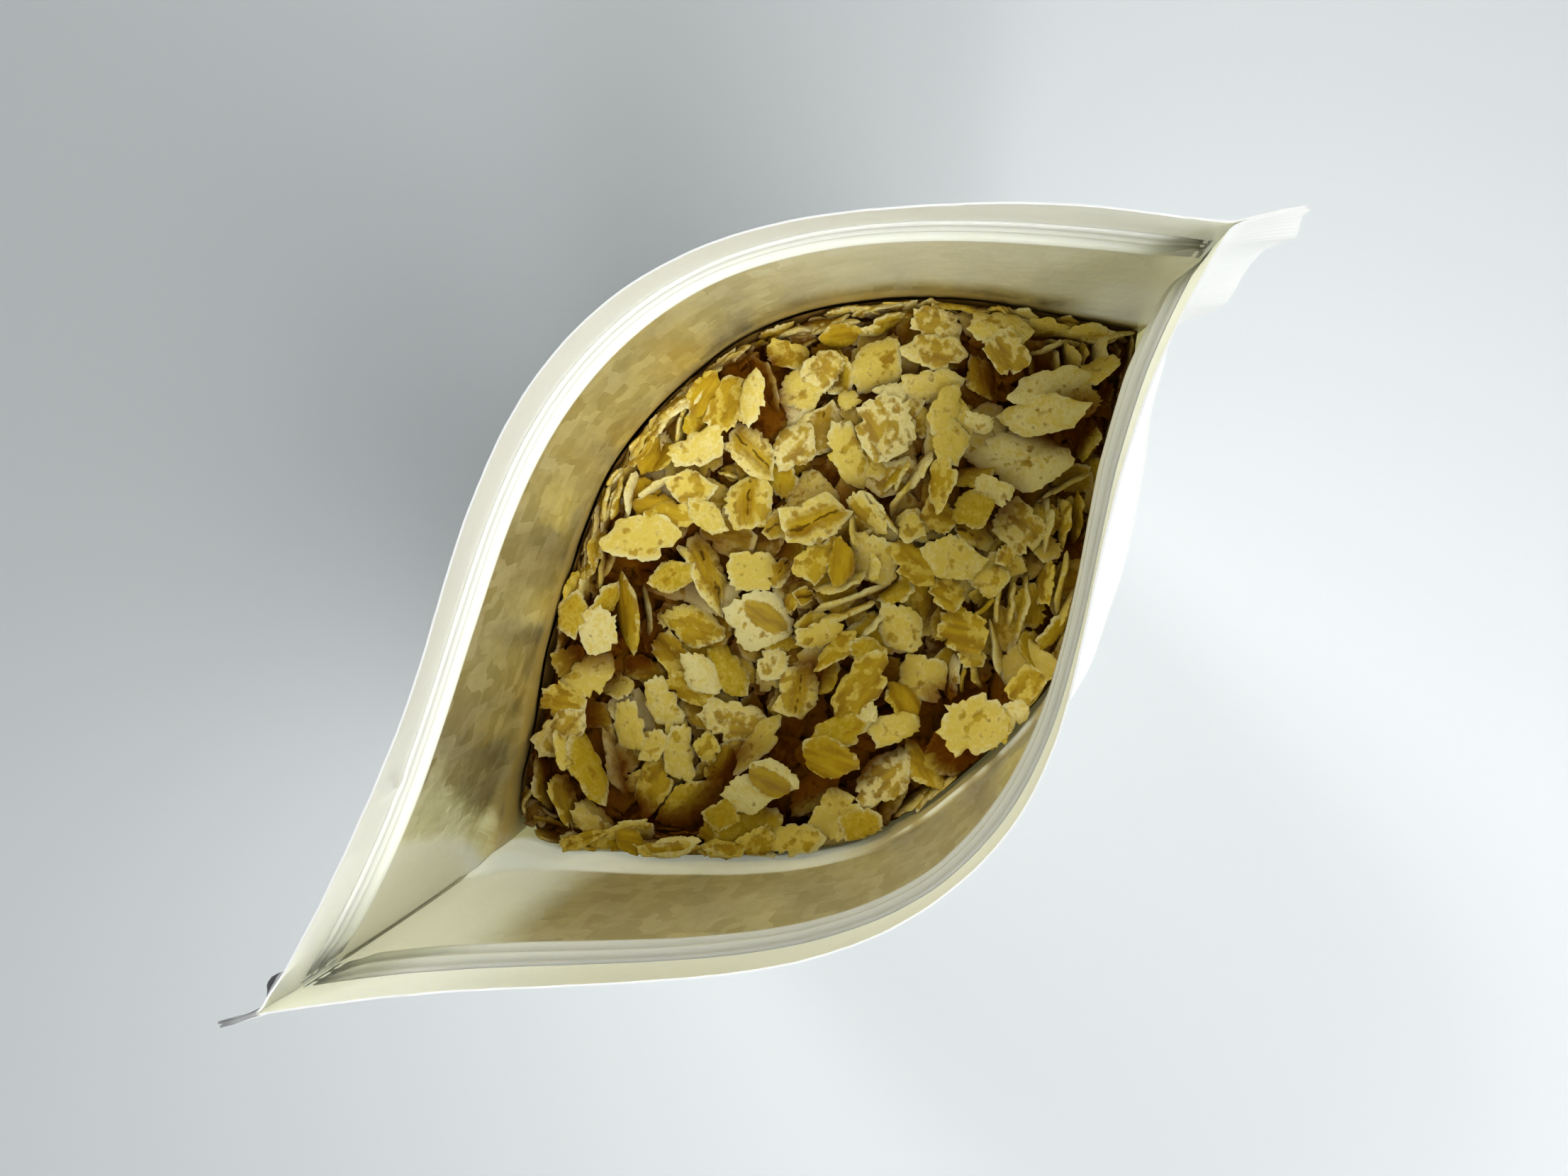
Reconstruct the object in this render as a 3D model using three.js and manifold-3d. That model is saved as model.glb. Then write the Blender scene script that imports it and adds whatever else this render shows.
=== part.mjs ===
// An open stand-up pouch of rolled oats.
//
// The pouch is one welded piece of laminated film: a front and a back panel, sealed
// together in a fin down each side, and a gusset folded in between them at the foot.
// Filled with oats it stands on the seal round its foot. The strip above the zip is torn
// off, and the mouth stands open as two bows of film that twist a little, so each panel
// is steep at one side seal and runs out slack to the other.
//
// Millimetres, +Z up. X runs from one side seal to the other, +Y is the back panel, and
// the origin is on the floor below the middle of the pouch's box.

import * as THREE from 'three';
import { mergeVertices } from 'three/addons/utils/BufferGeometryUtils.js';
import Module from 'manifold-3d';

const wasm = await Module();
wasm.setup();

// Driving dimensions
const PANEL_WIDTH = 134; // film between the side seals, the same at every height
const SEAL_WIDTH = 8; // how far a side seal stands out as a fin
const POUCH_HEIGHT = 210; // floor to the torn rim
const WALL = 0.8; // wall of the solid, thicker than the film so that it stays sound
const ZIP_DROP = 7.5; // rim down to the top of the zip
const ZIP_HEIGHT = 8; // each zip rail, top to bottom
const OATS_DROP = 57; // rim down to the mean level of the oats
const SKIRT_HEIGHT = 5; // foot seal, which the gusset hangs inside
const GAP = 0.4; // between pieces that touch
const NICK_WIDTH = 3; // half of the tear notch, left on each side seal
const NICK_HEIGHT = 1.6;

// Fineness of the meshes
const PANEL_STEPS = 28;
const WALL_LEVELS = 13;
const HEAP_LEVELS = 9;
const HEAP_RINGS = 7;
const RAIL_STEPS = 40;

// The inside of the film at four heights. `middle` lies halfway between the side seals,
// `half` is half the distance between them, `fins` are the turns of the left and the right
// fin in degrees, and `creased` is the film that dents and creases take up. Each panel has
// its crest at `crest` along X from the middle, and leaves each side seal at `slope` for a
// share `reach` of the way to the crest. `crown` is the share of each flank that stays
// level beside the crest.
const SECTIONS = [
  {
    z: 0,
    middle: [0, 0],
    half: 52,
    fins: [0, 0],
    creased: 0,
    crown: 0.42,
    back: { crest: 0, left: { slope: 2.1, reach: 0.2 }, right: { slope: 2.1, reach: 0.2 } },
    front: { crest: 0, left: { slope: 2.1, reach: 0.2 }, right: { slope: 2.1, reach: 0.2 } },
  },
  {
    z: 70,
    middle: [0, 0],
    half: 50,
    fins: [-4, -4],
    creased: 0,
    crown: 0.42,
    back: { crest: 2, left: { slope: 2, reach: 0.2 }, right: { slope: 2.2, reach: 0.2 } },
    front: { crest: -1, left: { slope: 2, reach: 0.2 }, right: { slope: 2.2, reach: 0.2 } },
  },
  {
    z: 153,
    middle: [0, 0],
    half: 55,
    fins: [-12, -12],
    creased: 3,
    crown: 0.45,
    back: { crest: 10, left: { slope: 0.6, reach: 0.4 }, right: { slope: 1.2, reach: 0.3 } },
    front: { crest: -2, left: { slope: 0.6, reach: 0.35 }, right: { slope: 1.2, reach: 0.3 } },
  },
  {
    z: POUCH_HEIGHT,
    middle: [-6, 3],
    half: 58.1,
    fins: [-28, -28],
    creased: 0,
    crown: 0.34,
    back: { crest: 8.6, left: { slope: 0.31, reach: 0.48 }, right: { slope: 1.05, reach: 0.33 } },
    front: { crest: -0.4, left: { slope: 0.54, reach: 0.4 }, right: { slope: 0.33, reach: 0.52 } },
  },
];

function sectionValues(section) {
  const panels = [section.back, section.front];
  const flanks = panels.flatMap(({ crest, left, right }) => [
    crest,
    left.slope,
    left.reach,
    right.slope,
    right.reach,
  ]);
  const { middle, half, fins, creased, crown } = section;
  return [...middle, half, ...fins, creased, crown, ...flanks];
}

const sectionCurve = new THREE.CubicInterpolant(
  SECTIONS.map((section) => section.z),
  SECTIONS.flatMap(sectionValues),
  sectionValues(SECTIONS[0]).length,
);

// The two panels go by their side of the pouch, 1 for the back and -1 for the front, and
// the two fins by their end, 1 for the right and -1 for the left.
function shapeAt(z) {
  const [middleX, middleY, half, leftFin, rightFin, creased, crown, ...flanks] =
    sectionCurve.evaluate(z);
  return {
    middle: new THREE.Vector2(middleX, middleY),
    half,
    fins: { [-1]: leftFin, 1: rightFin },
    length: PANEL_WIDTH - creased,
    crown,
    1: flanks.slice(0, flanks.length / 2),
    [-1]: flanks.slice(flanks.length / 2),
  };
}

// One panel's line at a height: two Bezier flanks that meet at the crest.
function panelPath(shape, side, bulge) {
  const { middle, half, crown } = shape;
  const [crest, leftSlope, leftReach, rightSlope, rightReach] = shape[side];
  const left = new THREE.Vector2(middle.x - half, middle.y);
  const right = new THREE.Vector2(middle.x + half, middle.y);
  const top = new THREE.Vector2(middle.x + crest, middle.y + side * bulge);
  const leftSpan = top.x - left.x;
  const rightSpan = right.x - top.x;
  const leftHandle = new THREE.Vector2(leftReach, side * leftReach * leftSlope);
  const rightHandle = new THREE.Vector2(-rightReach, side * rightReach * rightSlope);
  const path = new THREE.CurvePath();
  path.add(
    new THREE.CubicBezierCurve(
      left,
      leftHandle.multiplyScalar(leftSpan).add(left),
      new THREE.Vector2(top.x - crown * leftSpan, top.y),
      top,
    ),
  );
  path.add(
    new THREE.CubicBezierCurve(
      top,
      new THREE.Vector2(top.x + crown * rightSpan, top.y),
      rightHandle.multiplyScalar(rightSpan).add(right),
      right,
    ),
  );
  return path;
}

// The film doesn't stretch, so a panel bows out until its line is as long as the film.
function fittedPanel(shape, side) {
  let low = 0;
  let high = PANEL_WIDTH / 2;
  for (let round = 0; round < 24; round += 1) {
    const bulge = (low + high) / 2;
    if (panelPath(shape, side, bulge).getLength() < shape.length) {
      low = bulge;
    } else {
      high = bulge;
    }
  }
  return panelPath(shape, side, low);
}

const knownSections = new Map();

// Both panels at a height, as evenly spaced points from the left seal to the right one,
// with the unit normals that point out of the pouch.
function sectionAt(z) {
  if (!knownSections.has(z)) {
    const shape = shapeAt(z);
    const panels = {};
    for (const side of [1, -1]) {
      const points = fittedPanel(shape, side).getSpacedPoints(PANEL_STEPS);
      const normals = points.map((point, i) => {
        const before = points[Math.max(i - 1, 0)];
        const after = points[Math.min(i + 1, PANEL_STEPS)];
        const along = after.clone().sub(before).normalize();
        return new THREE.Vector2(-along.y * side, along.x * side);
      });
      panels[side] = { points, normals };
    }
    knownSections.set(z, { panels, fins: shape.fins });
  }
  return knownSections.get(z);
}

// The corner where two walls of one thickness meet, measured along their joint normal.
function mitre(corner, first, second, thickness) {
  const joint = first.clone().add(second);
  return corner.clone().addScaledVector(joint, thickness / (1 + first.dot(second)));
}

// The outline of the film's outer face, fins included, anticlockwise from above.
function outerLoop(z) {
  const { panels, fins } = sectionAt(z);
  const offset = ({ points, normals }) =>
    points.slice(1, -1).map((point, i) => point.clone().addScaledVector(normals[i + 1], WALL));
  const fin = (end) => {
    const last = end > 0 ? PANEL_STEPS : 0;
    const corner = panels[1].points[last];
    const out = new THREE.Vector2(end, 0).rotateAround(
      new THREE.Vector2(),
      THREE.MathUtils.degToRad(fins[end]),
    );
    const up = new THREE.Vector2(-out.y * end, out.x * end);
    const tip = corner.clone().addScaledVector(out, SEAL_WIDTH);
    return {
      backRoot: mitre(corner, up, panels[1].normals[last], WALL),
      backTip: tip.clone().addScaledVector(up, WALL),
      frontTip: tip.clone().addScaledVector(up, -WALL),
      frontRoot: mitre(corner, up.clone().negate(), panels[-1].normals[last], WALL),
    };
  };
  const left = fin(-1);
  const right = fin(1);
  return [
    left.frontRoot,
    ...offset(panels[-1]),
    right.frontRoot,
    right.frontTip,
    right.backTip,
    right.backRoot,
    ...offset(panels[1]).reverse(),
    left.backRoot,
    left.backTip,
    left.frontTip,
  ];
}

// The outline of the hollow, drawn in by a clearance, anticlockwise from above.
function innerLoop(z, clearance = 0) {
  const { panels } = sectionAt(z);
  const inset = ({ points, normals }) =>
    points.slice(1, -1).map((point, i) => point.clone().addScaledVector(normals[i + 1], -clearance));
  const corner = (last) =>
    mitre(panels[1].points[last], panels[1].normals[last], panels[-1].normals[last], -clearance);
  return [
    corner(0),
    ...inset(panels[-1]),
    corner(PANEL_STEPS),
    ...inset(panels[1]).reverse(),
  ];
}

function scaledLoop(loop, share) {
  const middle = loop[0].clone().add(loop[loop.length / 2]).multiplyScalar(0.5);
  return loop.map((point) => point.clone().sub(middle).multiplyScalar(share).add(middle));
}

const ring = (loop, z) => loop.map((point) => new THREE.Vector3(point.x, point.y, z));

// Joins rings of equally many points. The ends are capped, or the last ring is joined to
// the first for a hoop.
function loft(rings, hoop = false) {
  const size = rings[0].length;
  const positions = rings.flat().flatMap((point) => point.toArray());
  const indices = [];
  const spans = hoop ? rings.length : rings.length - 1;
  for (let r = 0; r < spans; r += 1) {
    const low = r * size;
    const high = ((r + 1) % rings.length) * size;
    for (let i = 0; i < size; i += 1) {
      const next = (i + 1) % size;
      indices.push(low + i, low + next, high + next);
      indices.push(low + i, high + next, high + i);
    }
  }
  if (!hoop) {
    const top = (rings.length - 1) * size;
    for (const [a, b, c] of THREE.ShapeUtils.triangulateShape(rings[0], [])) {
      indices.push(a, c, b);
    }
    for (const [a, b, c] of THREE.ShapeUtils.triangulateShape(rings[rings.length - 1], [])) {
      indices.push(top + a, top + b, top + c);
    }
  }
  const geometry = new THREE.BufferGeometry();
  geometry.setAttribute('position', new THREE.Float32BufferAttribute(positions, 3));
  geometry.setIndex(indices);
  return geometry;
}

function toSolid(geometry) {
  const bare = geometry.clone();
  bare.deleteAttribute('normal');
  bare.deleteAttribute('uv');
  const merged = mergeVertices(bare);
  return new wasm.Manifold(
    new wasm.Mesh({
      numProp: 3,
      vertProperties: new Float32Array(merged.attributes.position.array),
      triVerts: new Uint32Array(merged.index.array),
    }),
  );
}

function fromSolid(solid) {
  const mesh = solid.getMesh();
  const geometry = new THREE.BufferGeometry();
  geometry.setAttribute('position', new THREE.BufferAttribute(mesh.vertProperties, 3));
  geometry.setIndex(new THREE.BufferAttribute(mesh.triVerts, 1));
  return geometry;
}

// Pouch film: the outer form, less the hollow, less the groove between the foot seal and
// the gusset, less half a tear notch at the top of each fin.
const GUSSET_EDGE = SKIRT_HEIGHT + WALL; // height at which the gusset meets the foot seal
const GUSSET_REST = 0.7; // share of the foot over which the gusset lies on the floor
const FOOT_SEAL = 0.035; // share of the foot taken up by the seal's thickness
const BEYOND = 1; // how far a cutting solid reaches past the face it cuts

function pouchFilm() {
  const levels = Array.from({ length: WALL_LEVELS + 1 }, (_, i) => i / WALL_LEVELS);
  const outer = levels.map((t) => ring(outerLoop(t * POUCH_HEIGHT), t * POUCH_HEIGHT));
  const hollow = levels.map((t) => {
    const z = THREE.MathUtils.lerp(GUSSET_EDGE, POUCH_HEIGHT, t);
    return ring(innerLoop(z), z);
  });
  hollow.unshift(ring(scaledLoop(innerLoop(0), GUSSET_REST), WALL));
  hollow.push(ring(innerLoop(POUCH_HEIGHT), POUCH_HEIGHT + BEYOND));
  const foot = innerLoop(0);
  const groove = [
    ring(scaledLoop(foot, 1 - FOOT_SEAL), -BEYOND),
    ring(scaledLoop(foot, 1 - FOOT_SEAL), SKIRT_HEIGHT - WALL),
    ring(scaledLoop(foot, GUSSET_REST), -BEYOND),
  ];
  let film = toSolid(loft(outer)).subtract(toSolid(loft(hollow)));
  film = film.subtract(toSolid(loft(groove, true)));
  for (const end of [-1, 1]) {
    film = film.subtract(toSolid(tearNick(end)));
  }
  return fromSolid(film);
}

// A wedge that cuts the outer corner off a fin.
function tearNick(end) {
  const { panels, fins } = sectionAt(POUCH_HEIGHT);
  const corner = panels[1].points[end > 0 ? PANEL_STEPS : 0];
  const nick = new THREE.Shape();
  nick.moveTo(-NICK_WIDTH, 0);
  nick.lineTo(BEYOND, -NICK_HEIGHT * (1 + BEYOND / NICK_WIDTH));
  nick.lineTo(BEYOND, BEYOND);
  nick.lineTo(-NICK_WIDTH, BEYOND);
  const depth = 2 * (WALL + BEYOND);
  const geometry = new THREE.ExtrudeGeometry(nick, { depth, bevelEnabled: false });
  geometry.translate(SEAL_WIDTH, 0, -depth / 2);
  geometry.rotateX(Math.PI / 2);
  geometry.rotateZ(THREE.MathUtils.degToRad(fins[end]) + (end > 0 ? 0 : Math.PI));
  geometry.translate(corner.x, corner.y, POUCH_HEIGHT);
  return geometry;
}

// Oats: a heap that fills the pouch to the wall. Its top is nearly level, a little higher
// towards the right seal, with low mounds a few flakes across.
const OATS_LEVEL = POUCH_HEIGHT - OATS_DROP;
const HEAP_TILT = 0.07;
const HEAP_MOUNDS = [
  { height: 1.8, along: 0.09, across: 0.05, phase: 0.6 },
  { height: 1.2, along: -0.06, across: 0.16, phase: 2.1 },
  { height: 0.7, along: 0.31, across: 0.27, phase: 4.0 },
];

function heapTop(x, y) {
  let z = OATS_LEVEL + HEAP_TILT * x;
  for (const { height, along, across, phase } of HEAP_MOUNDS) {
    z += height * Math.sin(along * x + across * y + phase);
  }
  return z;
}

function oatsHeap() {
  const edge = innerLoop(OATS_LEVEL, GAP).map((point) => heapTop(point.x, point.y));
  const foot = GUSSET_EDGE + GAP;
  const rings = [ring(scaledLoop(innerLoop(0, GAP), GUSSET_REST), WALL + GAP)];
  for (let level = 0; level <= HEAP_LEVELS; level += 1) {
    rings.push(
      edge.map((top, i) => {
        const z = THREE.MathUtils.lerp(foot, top, level / HEAP_LEVELS);
        const point = innerLoop(z, GAP)[i];
        return new THREE.Vector3(point.x, point.y, z);
      }),
    );
  }
  const rim = rings[rings.length - 1].map((point) => new THREE.Vector2(point.x, point.y));
  for (let step = 1; step < HEAP_RINGS; step += 1) {
    const inner = scaledLoop(rim, 1 - step / HEAP_RINGS);
    rings.push(inner.map(({ x, y }) => new THREE.Vector3(x, y, heapTop(x, y))));
  }
  return loft(rings);
}

// Zip rails: a band of film welded inside each panel, with the closing profile along its
// middle. A profile is drawn as depth from the panel and height from the band's foot.
const BAND = 0.6;
const BEAD_PROFILE = [
  [0, 0],
  [BAND, 0],
  [BAND, 3.7],
  [1.1, 3.9],
  [1.2, 3.2],
  [1.9, 4.25],
  [1.2, 5.3],
  [1.1, 4.6],
  [BAND, 4.8],
  [BAND, ZIP_HEIGHT],
  [0, ZIP_HEIGHT],
];
const GROOVE_PROFILE = [
  [0, 0],
  [BAND, 0],
  [BAND, 2.2],
  [1.9, 2.3],
  [1.9, 3.3],
  [1.0, 2.9],
  [1.0, 5.6],
  [1.9, 5.2],
  [1.9, 6.2],
  [BAND, 6.3],
  [BAND, ZIP_HEIGHT],
  [0, ZIP_HEIGHT],
];
const RAIL_END = 0.055; // share of the panel left bare at each side seal

// A point of the wall at a share of the way from the left seal, moved into the hollow.
function wallPoint(side, share, z, depth) {
  const { points, normals } = sectionAt(z).panels[side];
  const place = share * PANEL_STEPS;
  const before = Math.min(Math.floor(place), PANEL_STEPS - 1);
  const point = points[before].clone().lerp(points[before + 1], place - before);
  const normal = normals[before].clone().lerp(normals[before + 1], place - before);
  return point.addScaledVector(normal.normalize(), -depth);
}

function zipRail(side, profile) {
  const foot = POUCH_HEIGHT - ZIP_DROP - ZIP_HEIGHT;
  const rings = [];
  for (let step = 0; step <= RAIL_STEPS; step += 1) {
    const share = THREE.MathUtils.lerp(RAIL_END, 1 - RAIL_END, step / RAIL_STEPS);
    rings.push(
      profile.map(([depth, height]) => {
        const point = wallPoint(side, share, foot + height, GAP + depth);
        return new THREE.Vector3(point.x, point.y, foot + height);
      }),
    );
  }
  return railLoft(rings, profile, side);
}

// A rail's rings stand upright, so its ends are capped in the profile's own plane.
function railLoft(rings, profile, side) {
  const size = profile.length;
  const last = (rings.length - 1) * size;
  const flat = profile.map(([depth, height]) => new THREE.Vector2(depth, height));
  const indices = [];
  const face = (a, b, c) => indices.push(...(side > 0 ? [a, c, b] : [a, b, c]));
  for (let r = 0; r < rings.length - 1; r += 1) {
    for (let i = 0; i < size; i += 1) {
      const low = r * size;
      const next = (i + 1) % size;
      face(low + i, low + next, low + size + next);
      face(low + i, low + size + next, low + size + i);
    }
  }
  for (const [a, b, c] of THREE.ShapeUtils.triangulateShape(flat, [])) {
    face(a, c, b);
    face(last + a, last + b, last + c);
  }
  const geometry = new THREE.BufferGeometry();
  const positions = rings.flat().flatMap((point) => point.toArray());
  geometry.setAttribute('position', new THREE.Float32BufferAttribute(positions, 3));
  geometry.setIndex(indices);
  return geometry;
}

const whiteFilm = new THREE.MeshStandardMaterial({ color: 0xe9e6d8, roughness: 0.6, metalness: 0 });
const zipPlastic = new THREE.MeshStandardMaterial({ color: 0xe6e8dc, roughness: 0.3, metalness: 0 });
const oatFlakes = new THREE.MeshStandardMaterial({ color: 0xcdb583, roughness: 0.9, metalness: 0 });

function piece(name, geometry, material) {
  const mesh = new THREE.Mesh(geometry, material.clone());
  mesh.name = name;
  return mesh;
}

const group = new THREE.Group();
const film = piece('pouch_film', pouchFilm(), whiteFilm);
group.add(film);
group.add(piece('zip_rail_back', zipRail(1, BEAD_PROFILE), zipPlastic));
group.add(piece('zip_rail_front', zipRail(-1, GROOVE_PROFILE), zipPlastic));
group.add(piece('oats', oatsHeap(), oatFlakes));

const box = new THREE.Box3().setFromObject(film);
const middle = box.getCenter(new THREE.Vector3());
group.position.set(-middle.x, -middle.y, 0);

export default group;
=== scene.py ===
"""An open, resealable stand-up pouch of rolled oats, looked at from straight above.

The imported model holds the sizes: film, zip rails and heap. Here the film gets its real
thickness, creases and lining, the zip its ribs, and the heap its flakes. Blender works in
metres, +Z up. Sizes below are in millimetres and are multiplied by MM on their way in.
"""

import math

import bpy
import numpy as np
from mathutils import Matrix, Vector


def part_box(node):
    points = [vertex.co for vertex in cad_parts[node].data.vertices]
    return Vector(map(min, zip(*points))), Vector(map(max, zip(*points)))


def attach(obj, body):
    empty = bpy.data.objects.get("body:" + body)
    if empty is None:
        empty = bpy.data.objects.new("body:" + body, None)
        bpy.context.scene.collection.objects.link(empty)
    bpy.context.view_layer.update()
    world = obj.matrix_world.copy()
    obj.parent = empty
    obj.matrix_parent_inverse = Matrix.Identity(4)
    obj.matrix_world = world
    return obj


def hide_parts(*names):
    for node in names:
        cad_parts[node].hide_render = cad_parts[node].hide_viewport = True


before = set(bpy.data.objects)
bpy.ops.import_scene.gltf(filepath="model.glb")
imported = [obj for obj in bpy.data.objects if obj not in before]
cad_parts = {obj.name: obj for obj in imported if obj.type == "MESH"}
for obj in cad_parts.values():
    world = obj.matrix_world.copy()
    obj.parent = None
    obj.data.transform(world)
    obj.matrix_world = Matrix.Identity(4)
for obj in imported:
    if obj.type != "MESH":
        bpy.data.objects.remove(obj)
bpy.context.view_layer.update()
MM = 0.001
bpy.ops.object.select_all(action="DESELECT")


# Camera. It looks straight down into the mouth from 147 mm above the rim, and is rolled so
# that the pouch's left seal points to the lower left of the picture.
EYE = (2.72, 2.99, 357.0)
ROLL = -39.1
bpy.ops.object.camera_add(
    location=[MM * place for place in EYE], rotation=(0, 0, math.radians(ROLL))
)
camera = bpy.context.object
camera.name = "camera"
camera.data.sensor_width = 36
camera.data.lens = 36.4
camera.data.clip_start = 0.01
bpy.context.scene.camera = camera


# Film panels. The front and the back of the pouch are each one sheet of laminate, white
# and matt outside and metallised inside, welded together in a fin down each side. The
# oats press them round below, and a torn-open mouth twists them into bows above.
PANEL_WIDTH = 134.0
SEAL_WIDTH = 8.0
FILM = 0.2
FOOT_MIDDLE = np.array([4.22, -0.01])
POUCH_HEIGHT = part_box("pouch_film")[1].z / MM

# The film's inner face at four heights: the middle and half length of the line between the
# side seals, the turn of the fins in degrees, the film that creases take up, and the share
# of each flank that stays level beside a crest. Each panel has its crest's place along X,
# and its slope and the reach of that slope at the left seal and at the right one.
SECTIONS = [
    dict(z=0, middle=(0, 0), half=52, fins=0, creased=0, crown=0.42,
         back=(0, 2.1, 0.2, 2.1, 0.2), front=(0, 2.1, 0.2, 2.1, 0.2)),
    dict(z=70, middle=(0, 0), half=50, fins=-4, creased=0, crown=0.42,
         back=(2, 2, 0.2, 2.2, 0.2), front=(-1, 2, 0.2, 2.2, 0.2)),
    dict(z=153, middle=(0, 0), half=55, fins=-12, creased=3, crown=0.45,
         back=(10, 0.6, 0.4, 1.2, 0.3), front=(-2, 0.6, 0.35, 1.2, 0.3)),
    dict(z=POUCH_HEIGHT, middle=(-6, 3), half=58.1, fins=-28, creased=0, crown=0.34,
         back=(8.6, 0.31, 0.48, 1.05, 0.33), front=(-0.4, 0.54, 0.4, 0.33, 0.52)),
]
SECTION_HEIGHTS = [section["z"] for section in SECTIONS]
SECTION_VALUES = np.array([
    [*s["middle"], s["half"], s["fins"], s["creased"], s["crown"], *s["back"], *s["front"]]
    for s in SECTIONS
])
FLANK_STEPS = np.linspace(0, 1, 61)[:, None]
FIT_ROUNDS = 30


def shape_at(z):
    """The section's values at a height, on a natural cubic curve through the four."""
    last = len(SECTIONS) - 1
    i = min(max(int(np.searchsorted(SECTION_HEIGHTS, z, side="right")), 1), last)
    low, high = SECTION_HEIGHTS[i - 1], SECTION_HEIGHTS[i]
    before, below = (i - 2, SECTION_HEIGHTS[i - 2]) if i > 1 else (i, high)
    after, above = (i + 1, SECTION_HEIGHTS[i + 1]) if i < last else (i - 1, low)
    half = (high - low) / 2
    pull, push = half / (low - below), half / (above - high)
    p = (z - low) / (high - low)
    weights = [
        -pull * p**3 + 2 * pull * p**2 - pull * p,
        (1 + pull) * p**3 + (-1.5 - 2 * pull) * p**2 + (-0.5 + pull) * p + 1,
        (-1 - push) * p**3 + (1.5 + push) * p**2 + 0.5 * p,
        push * p**3 - push * p**2,
    ]
    return sum(w * SECTION_VALUES[k] for w, k in zip(weights, (before, i - 1, i, after)))


def bezier(a, b, c, d):
    t = FLANK_STEPS
    return (1 - t) ** 3 * a + 3 * (1 - t) ** 2 * t * b + 3 * (1 - t) * t**2 * c + t**3 * d


def panel_line(side, shape):
    """A panel's line from the left seal to the right one, and each point's share of it.
    The film doesn't stretch, so the line bows out until it is as long as the film."""
    middle_x, middle_y, half, _, creased, crown = shape[:6]
    crest, left_slope, left_reach, right_slope, right_reach = shape[6:11] if side > 0 else shape[11:]
    left = np.array([middle_x - half, middle_y])
    right = np.array([middle_x + half, middle_y])
    low, high = 0.0, PANEL_WIDTH / 2
    for _ in range(FIT_ROUNDS):
        bulge = (low + high) / 2
        top = np.array([middle_x + crest, middle_y + side * bulge])
        a, b = top[0] - left[0], right[0] - top[0]
        line = np.concatenate([
            bezier(left, left + a * left_reach * np.array([1, side * left_slope]),
                   top - (crown * a, 0), top),
            bezier(top, top + (crown * b, 0),
                   right + b * right_reach * np.array([-1, side * right_slope]), right)[1:],
        ])
        steps = np.hypot(*np.diff(line, axis=0).T)
        if steps.sum() < PANEL_WIDTH - creased:
            low = bulge
        else:
            high = bulge
    run = np.concatenate([[0], np.cumsum(steps)])
    return line, run / run[-1]


def rise(value, start, end):
    """0 up to start, 1 from end, and smooth between."""
    t = np.clip((np.asarray(value, float) - start) / (end - start), 0, 1)
    return t * t * (3 - 2 * t)


def band(value, start, full, fade, end):
    """1 from full to fade, 0 outside start and end, and smooth between."""
    return rise(value, start, full) * (1 - rise(value, fade, end))


LATTICE = 211


def ripple(across, up, size, seed):
    """Smooth uneven relief from -1 to 1, with lumps about `size` from one to the next."""
    lattice = np.random.default_rng(seed).uniform(-1, 1, (LATTICE, LATTICE))
    x, y = np.asarray(across) / size, np.asarray(up) / size
    i, j = np.floor(x).astype(int), np.floor(y).astype(int)
    fx, fy = rise(x - i, 0, 1), rise(y - j, 0, 1)
    i, j, right, above = i % LATTICE, j % LATTICE, (i + 1) % LATTICE, (j + 1) % LATTICE
    low = lattice[i, j] * (1 - fx) + lattice[right, j] * fx
    high = lattice[i, above] * (1 - fx) + lattice[right, above] * fx
    return low * (1 - fy) + high * fy


LEFT_FIN_LEFT = 0.58
LEFT_FIN_DOWN = (0.0, 4.0, 8.0, 12.0, 25.0, 50.0)
LEFT_FIN_TURN = (4.6, 11.5, 19.0, 22.0, 19.0, 0.0)
RIGHT_FIN_DOWN = (0.0, 4.0, 9.0, 15.0, 23.0, 30.0, 35.0, 39.0, 44.0, 52.0, 70.0, 95.0)
RIGHT_FIN_TURN = (4.2, 0.7, -6.0, -1.0, 5.0, 3.5, -2.0, -10.0, -19.0, -20.0, -8.0, 0.0)


def fin_twist(end, z):
    """Degrees that a fin's loose upper end is turned by, so that it sways on its way down."""
    down = POUCH_HEIGHT - z
    if end > 0:
        return np.interp(down, RIGHT_FIN_DOWN, RIGHT_FIN_TURN)
    return np.interp(down, LEFT_FIN_DOWN, LEFT_FIN_TURN)


def fin_width(end, z):
    """The share of a fin's width that is left near its top, where the left one is trimmed
    narrow and the right one is ragged."""
    down = POUCH_HEIGHT - z
    if end < 0:
        return 1 - (1 - LEFT_FIN_LEFT) * (1 - float(rise(down, 16, 44)))
    return 1 - float((0.05 + 0.07 * ripple(0.5, z, 1.3, 88)) * (1 - rise(down, 4, 7)))


def panel_face(side, runs, heights):
    """The smooth inner face of a panel: a row for each height, a column for each run of
    film from the left seal. Runs off the panel lie on the fins."""
    face = np.zeros((len(heights), len(runs), 3))
    for row, z in zip(face, heights):
        shape = shape_at(z)
        line, share = panel_line(side, shape)
        row[:, 0] = np.interp(runs / PANEL_WIDTH, share, line[:, 0])
        row[:, 1] = np.interp(runs / PANEL_WIDTH, share, line[:, 1])
        for end, corner, past in ((-1, line[0], -runs), (1, line[-1], runs - PANEL_WIDTH)):
            turn = math.radians(shape[3] + float(fin_twist(end, z)))
            out = np.array([end * math.cos(turn), end * math.sin(turn)])
            row[past > 0, :2] = corner + past[past > 0, None] * fin_width(end, z) * out
        row[:, 2] = z
    face[..., :2] += FOOT_MIDDLE
    return face


def outward(face, side):
    normal = np.cross(np.gradient(face, axis=1), np.gradient(face, axis=0)) * -side
    return normal / np.linalg.norm(normal, axis=-1, keepdims=True)


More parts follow.
